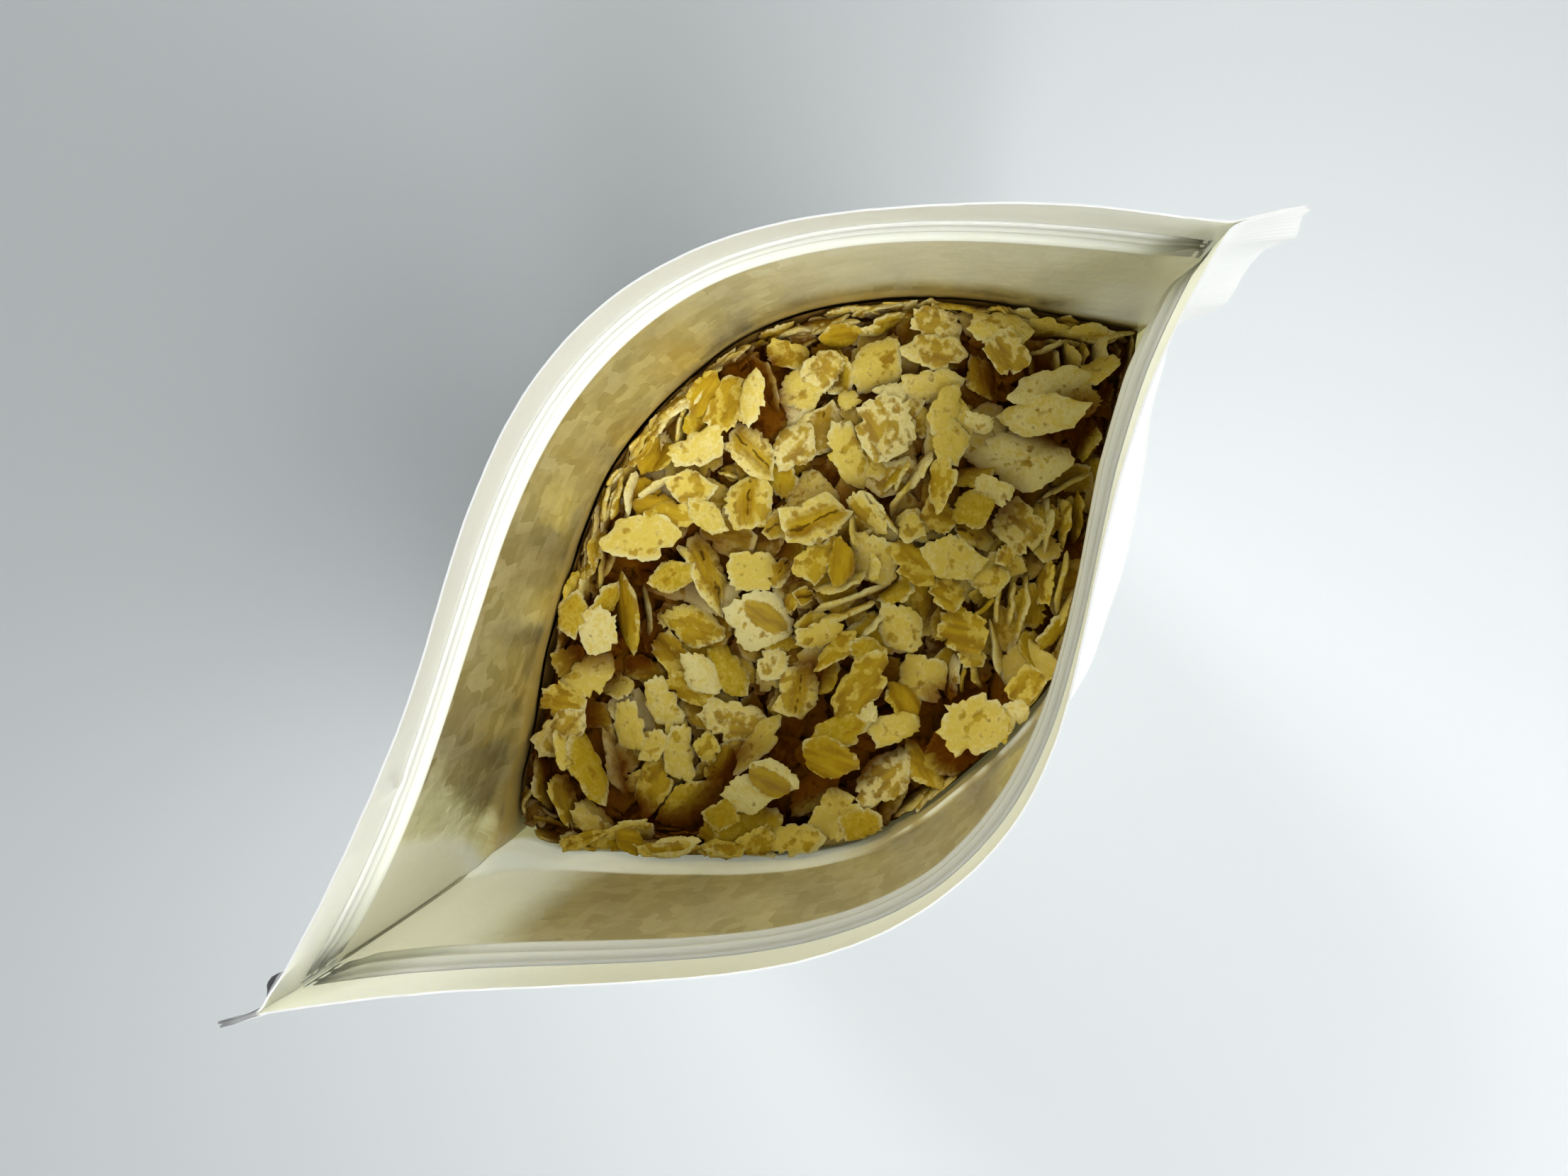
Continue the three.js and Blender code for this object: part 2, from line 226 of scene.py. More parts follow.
# A waist runs round the left end just above the oats: the corner is pressed flat there,
# and each panel kinks inwards as a narrow ledge, the front one with a soft lip to the right
# of it. Beyond the crest the open mouth pulls the front panel's zip inwards. How far each
# reaches is given as where it starts, is full, begins to fade, and ends.
WAIST_UP = (95.0, 140.0, 156.0, 160.0)
CORNER_FLAT = (4.0, 12.0)
CORNER_PRESS = 0.97
FRONT_LEDGE = 0.6
FRONT_LEDGE_ALONG = (2.0, 9.0, 38.0, 54.0)
BACK_LEDGE = 0.8
BACK_LEDGE_ALONG = (6.0, 12.0, 18.0, 30.0)
LIP = 0.7
LIP_UP = (120.0, 140.0, 155.0, 156.5)
LIP_ALONG = (50.0, 66.0, 118.0, 130.0)
ZIP_PULL_AT = (64.0, 80.0, 90.0, 100.0, 110.0, 120.0, 125.0, 130.0, 133.0)
ZIP_PULL = (0.0, 1.2, 1.7, 2.1, 2.7, 2.6, 2.1, 1.5, 0.2)
ZIP_PULL_UP = (178.0, 193.0, 195.0, POUCH_HEIGHT)
# A nick and a bulge in the back panel's torn edge: the run of film and the height, how far
# the film moves, and how far that reaches along it and up.
NICK = (22.6, 205.5, 0.7, 0.9, 2.6)
BULGE = (1.6, 207.2, 1.5, 1.7, 1.8)
# Where the film is uneven: over the oats, more so low down and beside the seals, then where
# it hangs slack, and above the zip. The welds hold it still along its edges.
FILLED_UP = (6.0, 20.0, 148.0, 160.0)
DENTED_UP = (10.0, 26.0, 116.0, 142.0)
SLACK_UP = (150.0, 160.0, 186.0, 194.0)
HEADER_UP = (202.0, POUCH_HEIGHT)
PUCKER_FREE = (5.0, 30.0, PANEL_WIDTH - 30.0, PANEL_WIDTH - 5.0)
WELD_FREE = (1.0, 9.0, PANEL_WIDTH - 9.0, PANEL_WIDTH - 1.0)
FIN_SWAY = 0.9
SEAM_BEND = 1.3
# How far the left fin's two sheets have come apart at the top, and how high that starts.
SPLAY = 0.14
SPLAY_UP = (200.0, 207.0)
NOTCH_WIDTH = 3.2
NOTCH_DEPTH = 1.5
TEAR_FALL = 14.0


def dent(u, z, run, height, depth, along, up):
    """A small round dent in the film."""
    return depth * np.exp(-(((u - run) / along) ** 2) - ((z - height) / up) ** 2)


def creased_face(side, runs, heights):
    """The inner face with the waist, the oats' lumps and the slackness of the film."""
    face = panel_face(side, runs, heights)
    u, z = np.meshgrid(runs, heights)
    waist = band(z, *WAIST_UP)
    # The corner pressed flat: its film lies on the line of the side seals.
    shapes = np.array([shape_at(height) for height in heights])
    seam_y = (shapes[:, 1] + FOOT_MIDDLE[1])[:, None]
    on_panel = (u > 0) & (u < PANEL_WIDTH)
    flat = waist * (1 - rise(u, *CORNER_FLAT)) * on_panel
    face[..., 1] += (seam_y - face[..., 1]) * flat * CORNER_PRESS
    # The ledges, inwards.
    normal = outward(face, side)
    if side < 0:
        inwards = FRONT_LEDGE * waist * band(u, *FRONT_LEDGE_ALONG)
        lip = LIP * (0.75 + 0.25 * ripple(u, 0 * z, 9, 31))
        inwards += lip * band(z, *LIP_UP) * band(u, *LIP_ALONG)
        inwards += band(z, *ZIP_PULL_UP) * np.interp(u, ZIP_PULL_AT, ZIP_PULL)
    else:
        inwards = BACK_LEDGE * waist * band(u, *BACK_LEDGE_ALONG)
        inwards += dent(u, z, *NICK) - dent(u, z, *BULGE) * rise(u, 0, 1.2)
    # Lumps pressed out by the oats, slack film above them, stiff film at the zip.
    seed = 5 if side > 0 else 6
    lumps = 0.35 * ripple(u, z, 8, seed) + 0.9 * ripple(u, z, 34, seed + 10)
    slack = 0.22 * ripple(u, z * 0.6, 6, seed + 20) + 0.3 * ripple(u, z * 0.25, 15, seed + 30)
    stiff = 0.3 * ripple(u, z * 0.5, 17, seed + 40)
    relief = band(z, *FILLED_UP) * lumps + band(z, *SLACK_UP) * slack
    relief += rise(z, *HEADER_UP) * stiff
    # Lower down the film is dented more, and puckered beside the seals.
    near_seal = 1 - band(u, *PUCKER_FREE)
    dents = 0.9 * ripple(u, z, 24, seed + 50)
    puckers = 0.55 * near_seal * ripple(u * 0.4, z, 9, seed + 60)
    relief += band(z, *DENTED_UP) * (dents + puckers)
    relief *= band(u, *WELD_FREE)
    face += normal * (relief - inwards)[..., None]
    # The fins sway together, so both sheets move the same way.
    past = np.maximum(-u, u - PANEL_WIDTH)
    face[..., 1] += rise(past, 0, SEAL_WIDTH) * FIN_SWAY * ripple(np.sign(u), z, 26, 77)
    # At the left fin's torn end the two sheets have come apart.
    face[..., 1] += side * SPLAY * rise(-u, SEAL_WIDTH - 0.9, SEAL_WIDTH) * rise(z, *SPLAY_UP)
    # The seam's bend isn't quite sharp.
    near_seam = (np.abs(past) < SEAM_BEND)[0]
    for _ in range(3):
        smooth = (face[:, :-2] + 2 * face[:, 1:-1] + face[:, 2:]) / 4
        face[:, 1:-1] = np.where(near_seam[1:-1, None], smooth, face[:, 1:-1])
    # The torn edge, with half a tear notch left at the end of each fin.
    tear = 0.12 * ripple(u, 0 * u, 3.5, 41) + 0.1 * ripple(u, 0 * u, 0.9, 42) + 0.12
    notch = NOTCH_DEPTH + 0.5 * ripple(u, 0 * u, 0.7, 43)
    tear += rise(past, SEAL_WIDTH - NOTCH_WIDTH, SEAL_WIDTH) * notch
    face[..., 2] -= tear * rise(z, POUCH_HEIGHT - TEAR_FALL, POUCH_HEIGHT)
    return face


def vertices_of(piece):
    place = np.zeros(len(piece.data.vertices) * 3, np.float32)
    piece.data.vertices.foreach_get("co", place)
    return place.reshape(-1, 3)


def laid_grid(name, columns, rows):
    """A flat grid of quads, with as many vertices along and up as are asked for, and the
    column and row that each vertex is in."""
    bpy.ops.mesh.primitive_grid_add(
        x_subdivisions=columns - 1, y_subdivisions=rows - 1, size=2, calc_uvs=True
    )
    piece = bpy.context.object
    piece.name = piece.data.name = name
    place = (vertices_of(piece) + 1) / 2
    column = np.rint(place[:, 0] * (columns - 1)).astype(int)
    row = np.rint(place[:, 1] * (rows - 1)).astype(int)
    return piece, column, row


def set_points(piece, points):
    """Moves a mesh's vertices to points given in millimetres."""
    piece.data.vertices.foreach_set("co", (points * MM).astype(np.float32).ravel())
    piece.data.update()


def set_flat_map(piece, across, up):
    """Gives a mesh its place on the flat sheet, in metres, as its UV map."""
    loops = np.zeros(len(piece.data.loops), int)
    piece.data.loops.foreach_get("vertex_index", loops)
    flat = np.stack([across[loops], up[loops]], axis=1) * MM
    piece.data.uv_layers[0].data.foreach_set("uv", flat.astype(np.float32).ravel())


def mark_vertices(piece, name, values):
    """Gives each vertex a value that the material reads."""
    attribute = piece.data.attributes.new(name, "FLOAT", "POINT")
    attribute.data.foreach_set("value", values.astype(np.float32))


def edit_all(piece, *steps):
    """Runs edit-mode operators on all of one piece."""
    bpy.ops.object.select_all(action="DESELECT")
    piece.select_set(True)
    bpy.context.view_layer.objects.active = piece
    bpy.ops.object.mode_set(mode="EDIT")
    bpy.ops.mesh.select_all(action="SELECT")
    for step in steps:
        step()
    bpy.ops.object.mode_set(mode="OBJECT")


def shade(piece, angle):
    bpy.ops.object.select_all(action="DESELECT")
    piece.select_set(True)
    bpy.context.view_layer.objects.active = piece
    bpy.ops.object.shade_smooth_by_angle(angle=math.radians(angle))


def set_inputs(made, inputs):
    """Sets a shader node's inputs, or joins them to other nodes."""
    for name, value in inputs.items():
        if isinstance(value, bpy.types.NodeSocket):
            made.id_data.links.new(value, made.inputs[name])
        else:
            made.inputs[name].default_value = value


def shader(tree, kind, inputs, **settings):
    """A shader node with its settings and inputs."""
    made = tree.nodes.new("ShaderNode" + kind)
    for name, value in settings.items():
        setattr(made, name, value)
    set_inputs(made, inputs)
    return made


def new_finish(name):
    finish = bpy.data.materials.new(name)
    finish.use_nodes = True
    return finish, finish.node_tree, finish.node_tree.nodes["Principled BSDF"]


def noise(place, scale, detail=2.0, roughness=0.5):
    inputs = {"Vector": place, "Scale": scale, "Detail": detail, "Roughness": roughness}
    return shader(place.id_data, "TexNoise", inputs).outputs["Fac"]


def ramp(value, start, end, low=0.0, high=1.0):
    """A smooth step of a value from low, at start, to high, at end."""
    inputs = {"Value": value, "From Min": start, "From Max": end, "To Min": low, "To Max": high}
    made = shader(value.id_data, "MapRange", inputs, interpolation_type="SMOOTHSTEP")
    return made.outputs["Result"]


def reckon(operation, first, second=0.0):
    """One sum on two shader values, either of which may be a plain number."""
    tree = (first if isinstance(first, bpy.types.NodeSocket) else second).id_data
    return shader(tree, "Math", {0: first, 1: second}, operation=operation).outputs["Value"]


def plus(first, *others):
    for other in others:
        first = reckon("ADD", first, other)
    return first


def minus(first, second):
    return reckon("SUBTRACT", first, second)


def times(first, *others):
    for other in others:
        first = reckon("MULTIPLY", first, other)
    return first


def larger(first, *others):
    for other in others:
        first = reckon("MAXIMUM", first, other)
    return first


def blend_colours(share, first, second):
    inputs = {0: share, 6: first, 7: second}
    return shader(share.id_data, "Mix", inputs, data_type="RGBA").outputs[2]


def bumps(height, strength, distance):
    inputs = {"Height": height, "Strength": strength, "Distance": distance}
    return shader(height.id_data, "Bump", inputs).outputs["Normal"]


def marked(tree, name):
    """What mark_vertices wrote on the mesh."""
    return shader(tree, "Attribute", {}, attribute_name=name).outputs["Fac"]


def flat_millimetres(tree, stretch=(1.0, 1.0, 1.0)):
    """The UV map's place on the flat sheet, in millimetres times a stretch."""
    place = shader(tree, "UVMap", {}, uv_map="UVMap").outputs["UV"]
    scale = [1000 * s for s in stretch]
    return shader(tree, "Mapping", {"Vector": place, "Scale": scale}).outputs["Vector"]


def along_and_up(place):
    parts = shader(place.id_data, "SeparateXYZ", {"Vector": place}).outputs
    return parts["X"], parts["Y"]


# The dark patch's middle, and how far it reaches along the film and up.
PATCH = (1.5, 207.2, 1.3, 2.0)


def white_outside():
    """Matt white laminate, with ribs pressed into the seals, one dark printed patch, and painted
    shade on the left fin's torn top.
    """
    finish, tree, surface = new_finish("white_film_outside")
    place = flat_millimetres(tree)
    run, up = along_and_up(place)
    white = blend_colours(noise(place, 0.05), (0.66, 0.66, 0.64, 1), (0.72, 0.72, 0.70, 1))
    # The torn top of the left fin is painted grey, as shade on its cut edge.
    painted_shade_on_torn_top = times(ramp(run, 0.0, -1.0), ramp(up, POUCH_HEIGHT - 3, POUCH_HEIGHT - 1))
    white = blend_colours(painted_shade_on_torn_top, white, (0.28, 0.28, 0.28, 1))
    beside = times(minus(run, PATCH[0]), 1 / PATCH[2])
    above = times(minus(up, PATCH[1]), 1 / PATCH[3])
    patch = ramp(plus(times(beside, beside), times(above, above)), 1.1, 0.9)
    past = minus(reckon("ABSOLUTE", minus(run, PANEL_WIDTH / 2)), PANEL_WIDTH / 2)
    ribs = times(reckon("SINE", times(up, 5.2)), ramp(past, -0.3, 0.3), 0.25)
    grain = times(noise(place, 1.6, 3), 0.35)
    set_inputs(surface, {
        "Base Color": blend_colours(patch, white, (0.045, 0.045, 0.05, 1)),
        "Roughness": 0.45,
        "Normal": bumps(plus(ribs, grain), 0.35, 0.00012),
    })
    return finish


HEADER_HAZE = (193.0, 196.5)
# From none of the brown band at the oats' level to all of it, on the way down.
OAT_LEVEL_BAND_UP = (162.5, 156.5)
WELD_LINE_SHADE = (0.5, 0.15)
WELD_LINE_SHADE_UP = (193.5, 192.0)
CLEAR_METAL = 0.8
HAZY_METAL = 0.05


def metallised_lining():
    """Satin silver lining under a clear seal layer, with a painted reflection of the oats in
    darker blocks and streaks, a brown band at the oats' level and specks of flour. It is hazy
    where creases have stretched it, milky above the zip, and painted white as highlights
    along creases, a ledge, a lip and a facet."""
    finish, tree, surface = new_finish("metallised_lining")
    place = flat_millimetres(tree)
    run, up = along_and_up(place)
    hazy, painted_highlight, lit = (marked(tree, name) for name in ("hazy", "painted_highlight", "lit"))
    streaks = noise(flat_millimetres(tree, (1.0, 0.12, 1.0)), 0.35)
    waves = noise(flat_millimetres(tree, (1.0, 0.45, 1.0)), 0.42)
    blotches = noise(flat_millimetres(tree, (1.0, 0.4, 1.0)), 0.62, 3, 0.6)
    # The metal's colour is painted darker and more olive in blocks and streaks, as a painted
    # reflection of the oats' mottled colours.
    blocks = shader(tree, "TexVoronoi", {
        "Vector": flat_millimetres(tree, (1.0, 0.5, 1.0)), "Scale": 0.42, "Randomness": 0.9,
    }, distance="CHEBYCHEV").outputs["Color"]
    block = shader(tree, "SeparateColor", {"Color": blocks}).outputs["Red"]
    uneven = plus(times(block, 0.45), times(blotches, 0.55))
    bright_metal_share = times(ramp(uneven, 0.24, 0.74), ramp(streaks, 0.2, 0.6, 0.6, 1.0))
    colour = blend_colours(bright_metal_share, (0.64, 0.59, 0.32, 1), (0.94, 0.91, 0.64, 1))
    # A brown band runs along it at the oats' level, and specks of flour are all over it.
    oat_level_band = times(ramp(plus(up, times(blotches, 5.0)), *OAT_LEVEL_BAND_UP), 0.85)
    flecked = ramp(noise(place, 0.12), 0.42, 0.62, 0.0, 0.75)
    specks = times(ramp(noise(place, 6.0), 0.69, 0.73), flecked)
    milky = ramp(up, *HEADER_HAZE)
    # A fine dark line runs down the weld at the left seam: partly the weld's own edge, partly
    # painted shade in the groove where little light gets.
    weld_line_and_shade = times(ramp(run, *WELD_LINE_SHADE), ramp(up, *WELD_LINE_SHADE_UP))
    for share, tint in (
        (hazy, (0.96, 0.92, 0.61, 1)),
        (oat_level_band, (0.66, 0.48, 0.12, 1)),
        (specks, (0.88, 0.84, 0.66, 1)),
        (milky, (0.90, 0.88, 0.60, 1)),
        (painted_highlight, (0.97, 0.93, 0.64, 1)),
        (weld_line_and_shade, (0.10, 0.075, 0.06, 1)),
    ):
        colour = blend_colours(share, colour, tint)
    haze = larger(hazy, specks, oat_level_band)
    bare = times(ramp(milky, 0, 1, 1.0, 0.0), ramp(painted_highlight, 0, 1, 1.0, 0.0))
    # Light comes through the film above the zip and at the painted highlights, and a little where it is
    # hazy.
    lit_through = times(larger(milky, painted_highlight, times(hazy, 0.75)), lit)
    dents, fine = times(noise(place, 0.22), 1.4), times(noise(place, 0.7), 0.1)
    set_inputs(surface, {
        "Base Color": colour,
        "Metallic": times(ramp(haze, 0, 1, CLEAR_METAL, HAZY_METAL), bare),
        "Roughness": plus(ramp(streaks, 0.3, 0.7, 0.28, 0.34), times(haze, 0.12)),
        "Subsurface Weight": lit_through,
        "Subsurface Radius": (0.003, 0.003, 0.002),
        "Subsurface Scale": 1.0,
        "Normal": bumps(plus(dents, fine, times(streaks, 0.15), waves), 0.4, 0.0004),
    })
    return finish


# The back panel's crease, which climbs from the pinched corner and stops along the film.
CREASE_FOOT = 157.0
CREASE_WIDTH = 5.0
CREASE_END = 16.0
# The line of painted highlight along the front panel's lip.
THREAD_UP = 155.2
THREAD_WIDTH = 0.8
THREAD_ALONG = (50.0, 62.0, 124.0, 131.0)


def haze_highlights_and_light(side, runs, heights):
    """How hazy the lining is, where creases, a ledge, a lip and a facet are painted white as
    highlights, and how much light the film's outside gets there."""
    u, z = np.meshgrid(runs, heights)
    if side > 0:
        # A crease climbs from the pinched corner to the zip, painted white along it as a
        #         # highlight, and the film before it is hazy.
        past_crease = z - (CREASE_FOOT + 1.4 * (u - 2) + 0.16 * (u - 2) ** 2)
        corner = u < CREASE_END
        far_end = 0.8 * rise(u, 66, 104) * rise(z, 155, 168)
        hazy = np.maximum(rise(past_crease, -2, 3) * corner, far_end)
        crease = 0.95 * np.exp(-(((past_crease - 1) / CREASE_WIDTH) ** 2))
        crease = crease * (1 - 0.25 * rise(u, 5, 12))
        # A facet by the right corner is painted white as a highlight.
        facet = 0.85 * rise(u, 119, 128) * band(z, 153, 158, 172, 190)
        return hazy, np.maximum(crease * corner, facet), np.full_like(u, 0.85)
    hazy = np.maximum(1 - band(u, 10, 25, 100, 126), 0.3)
    # On the front, the ledge and a broken thread along the lip are painted white as highlights.
    ledge = band(z, 146, 150, 158.6, 160.2) * (1 - rise(u, 44, 60))
    thread = np.exp(-(((z - THREAD_UP) / THREAD_WIDTH) ** 2)) * band(u, *THREAD_ALONG)
    thread = thread * rise(ripple(u, 0 * u, 2.2, 35), -0.5, 0.0)
    return hazy, np.maximum(ledge, thread), 0.9 - 0.4 * band(u, 12, 32, 96, 118)


PANEL_RUNS = np.concatenate([
    np.linspace(-SEAL_WIDTH, 0, 11)[:-1],
    np.linspace(0, 6, 13)[:-1],
    np.linspace(6, PANEL_WIDTH - 6, 118)[:-1],
    np.linspace(PANEL_WIDTH - 6, PANEL_WIDTH, 13)[:-1],
    np.linspace(PANEL_WIDTH, PANEL_WIDTH + SEAL_WIDTH, 11),
])
PANEL_HEIGHTS = np.concatenate([
    np.linspace(0.12, 144, 49)[:-1],
    np.linspace(144, 164, 41)[:-1],
    np.linspace(164, 194, 21)[:-1],
    np.linspace(194, POUCH_HEIGHT, 25),
])

outside, lining = white_outside(), metallised_lining()


def make_film(piece):
    """Gives a sheet its thickness, outwards, with the white outside and the lining."""
    piece.data.materials.append(outside)
    piece.data.materials.append(lining)
    wall = piece.modifiers.new("film", "SOLIDIFY")
    wall.thickness = FILM * MM
    wall.offset = 1
    wall.material_offset = 1
    bpy.context.view_layer.objects.active = piece
    bpy.ops.object.modifier_apply(modifier=wall.name)
    shade(piece, 50)


inner_faces = {}
for side, name in ((1, "film_back_panel"), (-1, "film_front_panel")):
    inner_faces[side] = creased_face(side, PANEL_RUNS, PANEL_HEIGHTS)
    panel, column, row = laid_grid(name, len(PANEL_RUNS), len(PANEL_HEIGHTS))
    set_points(panel, inner_faces[side][row, column])
    set_flat_map(panel, PANEL_RUNS[column], PANEL_HEIGHTS[row])
    for word, values in zip(("hazy", "painted_highlight", "lit"), haze_highlights_and_light(side, PANEL_RUNS, PANEL_HEIGHTS)):
        mark_vertices(panel, word, values[row, column])
    if side > 0:
        edit_all(panel, bpy.ops.mesh.flip_normals)
    make_film(panel)
    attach(panel, "root")
    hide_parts("pouch_film")


# Gusset. A third sheet of the same laminate is folded in between the panels at the foot
# and welded to them in a curved seal. The oats press it flat on the floor.
SEAL_HEIGHT = 5.0
# The shares of the foot's outline that the seal starts at and the flat part reaches to.
GUSSET_EDGE = 0.985
GUSSET_REST = 0.7
GUSSET_RINGS = 12
GUSSET_LIFT = 0.48
FOLD = 0.9
foot = np.concatenate([
    panel_face(-1, np.linspace(0, PANEL_WIDTH, 70), [SEAL_HEIGHT])[0][:-1],
    panel_face(1, np.linspace(PANEL_WIDTH, 0, 70), [SEAL_HEIGHT])[0][:-1],
])
gusset, column, row = laid_grid("film_gusset", len(foot) + 1, GUSSET_RINGS)
share = np.interp(row / (GUSSET_RINGS - 1), [0, 0.35, 1], [GUSSET_EDGE, GUSSET_REST, 0.0])
points = np.zeros((len(column), 3))
points[:, :2] = FOOT_MIDDLE + (foot[column % len(foot), :2] - FOOT_MIDDLE) * share[:, None]
points[:, 2] = SEAL_HEIGHT * rise(share, GUSSET_REST, GUSSET_EDGE) + GUSSET_LIFT
points[:, 2] += 0.25 * ripple(points[:, 0], points[:, 1], 9, 91) * rise(share, 0, 0.3)
points[:, 2] += FOLD * np.exp(-((points[:, 1] / 0.8) ** 2)) * rise(share, 0, 0.2)
set_points(gusset, points)
set_flat_map(gusset, points[:, 0], points[:, 1])
edit_all(
    gusset,
    lambda: bpy.ops.mesh.remove_doubles(threshold=0.01 * MM),
    lambda: bpy.ops.mesh.normals_make_consistent(inside=False),
)
make_film(gusset)
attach(gusset, "root")
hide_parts("pouch_film")


# Zip. Two rails of milky polyethylene are welded inside the panels just below the mouth:
# a bead on the back one closes into a groove on the front one. At the side seals both are
# crushed flat, so that they run into the corners.
ZIP_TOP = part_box("zip_rail_back")[1].z / MM
ZIP_HEIGHT = 8.0
ZIP_FOOT = ZIP_TOP - ZIP_HEIGHT
RAIL_RUNS = np.linspace(0.4, PANEL_WIDTH - 0.4, 190)
CRUSHED = (0.5, 6.5)
WELDED_IN = 0.02
# Profiles, as depth from the panel and height over the rail's foot. A rail's back follows
# the film that it is welded to.
BEAD_RAIL = [
    (0.0, 0.0), (0.28, 0.05), (0.34, 0.5), (0.36, 2.6), (0.5, 3.0), (0.95, 3.2), (1.2, 3.55),
    (1.34, 4.0), (1.28, 4.4), (1.0, 4.7), (0.6, 4.85), (0.42, 5.1), (0.4, 5.6), (0.48, 5.9),
    (0.7, 6.05), (0.78, 6.3), (0.66, 6.55), (0.42, 6.7), (0.36, 7.0), (0.42, 7.3), (0.46, 7.6),
    (0.34, 7.9), (0.12, 8.0), (0.0, 8.0),
]
GROOVE_RAIL = [
    (0.0, 0.0), (0.28, 0.05), (0.34, 0.5), (0.36, 2.0), (0.55, 2.3), (0.95, 2.45), (1.1, 2.8),
    (0.95, 3.15), (0.6, 3.3), (0.42, 3.7), (0.4, 5.0), (0.5, 5.4), (0.85, 5.55), (1.0, 5.9),
    (0.86, 6.25), (0.5, 6.4), (0.38, 6.8), (0.4, 7.2), (0.42, 7.6), (0.32, 7.9), (0.12, 8.0),
    (0.0, 8.0),
]
RAIL_BACK = [(0.0, height) for height in (7.0, 6.0, 5.0, 4.0, 3.0, 2.0, 1.0)]


def milky_plastic():
    """Milky, slightly glossy polyethylene, drawn lengthwise."""
    finish, tree, surface = new_finish("milky_zip")
    drawn = noise(flat_millimetres(tree, (0.08, 1.0, 1.0)), 1.5, 3)
    set_inputs(surface, {
        "Base Color": blend_colours(drawn, (0.76, 0.78, 0.64, 1), (0.84, 0.85, 0.74, 1)),
        "Roughness": 0.28,
        "Subsurface Weight": 0.7,
        "Subsurface Radius": (0.0025, 0.0025, 0.0018),
        "Subsurface Scale": 1.0,
        "Normal": bumps(drawn, 0.3, 0.0001),
    })
    return finish


milky = milky_plastic()
for side, name, node, profile in (
    (1, "zip_bead_rail", "zip_rail_back", np.array(BEAD_RAIL + RAIL_BACK)),
    (-1, "zip_groove_rail", "zip_rail_front", np.array(GROOVE_RAIL + RAIL_BACK)),
):
    rail, column, row = laid_grid(name, len(RAIL_RUNS), len(profile) + 1)
    depth, height = profile[row % len(profile)].T
    levels = np.linspace(ZIP_FOOT, ZIP_TOP, 17)
    wall_face = creased_face(side, RAIL_RUNS, levels)
    wall_normal = outward(wall_face, side)
    level = (height / ZIP_HEIGHT) * (len(levels) - 1)
    lower = np.minimum(level.astype(int), len(levels) - 2)
    share = (level - lower)[:, None]
    on_wall = wall_face[lower, column] * (1 - share) + wall_face[lower + 1, column] * share
    normal = wall_normal[lower, column]
    from_end = np.minimum(RAIL_RUNS, PANEL_WIDTH - RAIL_RUNS)[column]
    stand = rise(from_end, *CRUSHED) * (1 + 0.05 * ripple(RAIL_RUNS[column], height, 7, 51))
    set_points(rail, on_wall - normal * (depth * stand - WELDED_IN)[:, None])
    set_flat_map(rail, RAIL_RUNS[column], height)
    edit_all(
        rail,
        lambda: bpy.ops.mesh.remove_doubles(threshold=0.001 * MM),
        lambda: bpy.ops.mesh.fill_holes(sides=0),
        lambda: bpy.ops.mesh.normals_make_consistent(inside=False),
    )
    rail.data.materials.append(milky)
    shade(rail, 60)
    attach(rail, "root")
    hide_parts(node)


# Core of the heap. It stands in for the oats below the flakes that can be seen, fills the
# pouch nearly to the film, and is painted dark brown as shade in the gaps, because no
# light gets that far down.
OATS_LEVEL = 153.0
HEAP_TILT = 0.07
# Each mound's height, how fast it comes round along X and along Y, and where it starts.
HEAP_MOUNDS = ((1.8, 0.09, 0.05, 0.6), (1.2, -0.06, 0.16, 2.1), (0.7, 0.31, 0.27, 4.0))
CORE_DEPTH = 5.5
CORE_CLEAR = 0.35
CORE_START = 8.0
CORE_FOOT = 2.0
CORE_RIM = 3.0
CORE_RIM_WIDTH = 1.8
CORE_SEGMENTS = 120
CORE_RINGS = 44
CORE_WALL_RINGS = 26


def heap_top(x, y):
    """The oats' even top, which is tilted a little and has low mounds."""
    x, y = x - FOOT_MIDDLE[0], y - FOOT_MIDDLE[1]
    z = OATS_LEVEL + HEAP_TILT * x
    for height, along, across, phase in HEAP_MOUNDS:
        z = z + height * np.sin(along * x + across * y + phase)
    return z


def wall_outline(z, points_per_panel=60, start=0.0):
    """The film's creased inner outline at a height, anticlockwise from above. It may start
    away from the left seal."""
    runs = np.linspace(start, PANEL_WIDTH, points_per_panel + 1)
    level = int(np.argmin(np.abs(PANEL_HEIGHTS - z)))
    outline = []
    for side, order in ((-1, runs[:-1]), (1, runs[::-1][:-1])):
        row = inner_faces[side][level]
        outline.append(np.stack([np.interp(order, PANEL_RUNS, row[:, k]) for k in (0, 1)], 1))
    return np.concatenate(outline)


def drawn_in(outline, clearance):
    """A closed outline moved inwards by a clearance."""
    along = np.roll(outline, -1, 0) - np.roll(outline, 1, 0)
    along /= np.linalg.norm(along, axis=1, keepdims=True)
    return outline + clearance * np.stack([-along[:, 1], along[:, 0]], 1)


def core_outline(z):
    """The core stays clear of the film, and out of the corner that is pressed flat."""
    return drawn_in(wall_outline(z, start=CORE_START), CORE_CLEAR)


def core_painted_shade():
    """Packed flakes in deep shade, with the shade painted into their dark brown colour."""
    finish, tree, surface = new_finish("oats_in_painted_shade")
    lumps = noise(shader(tree, "TexCoord", {}).outputs["Object"], 260, 3)
    set_inputs(surface, {
        "Base Color": blend_colours(lumps, (0.10, 0.045, 0.003, 1), (0.34, 0.19, 0.02, 1)),
        "Roughness": 0.9,
        "Normal": bumps(lumps, 0.8, 0.001),
    })
    return finish


def new_ball(name, segments, rings):
    """A ball to be pressed into shape, its points, and the spoke that each point is on."""
    bpy.ops.mesh.primitive_uv_sphere_add(segments=segments, ring_count=rings, radius=1)
    piece = bpy.context.object
    piece.name = piece.data.name = name
    ball = vertices_of(piece).astype(float)
    turn = np.arctan2(ball[:, 1], ball[:, 0]) / (2 * math.pi)
    return piece, ball, np.rint(turn * segments).astype(int) % segments


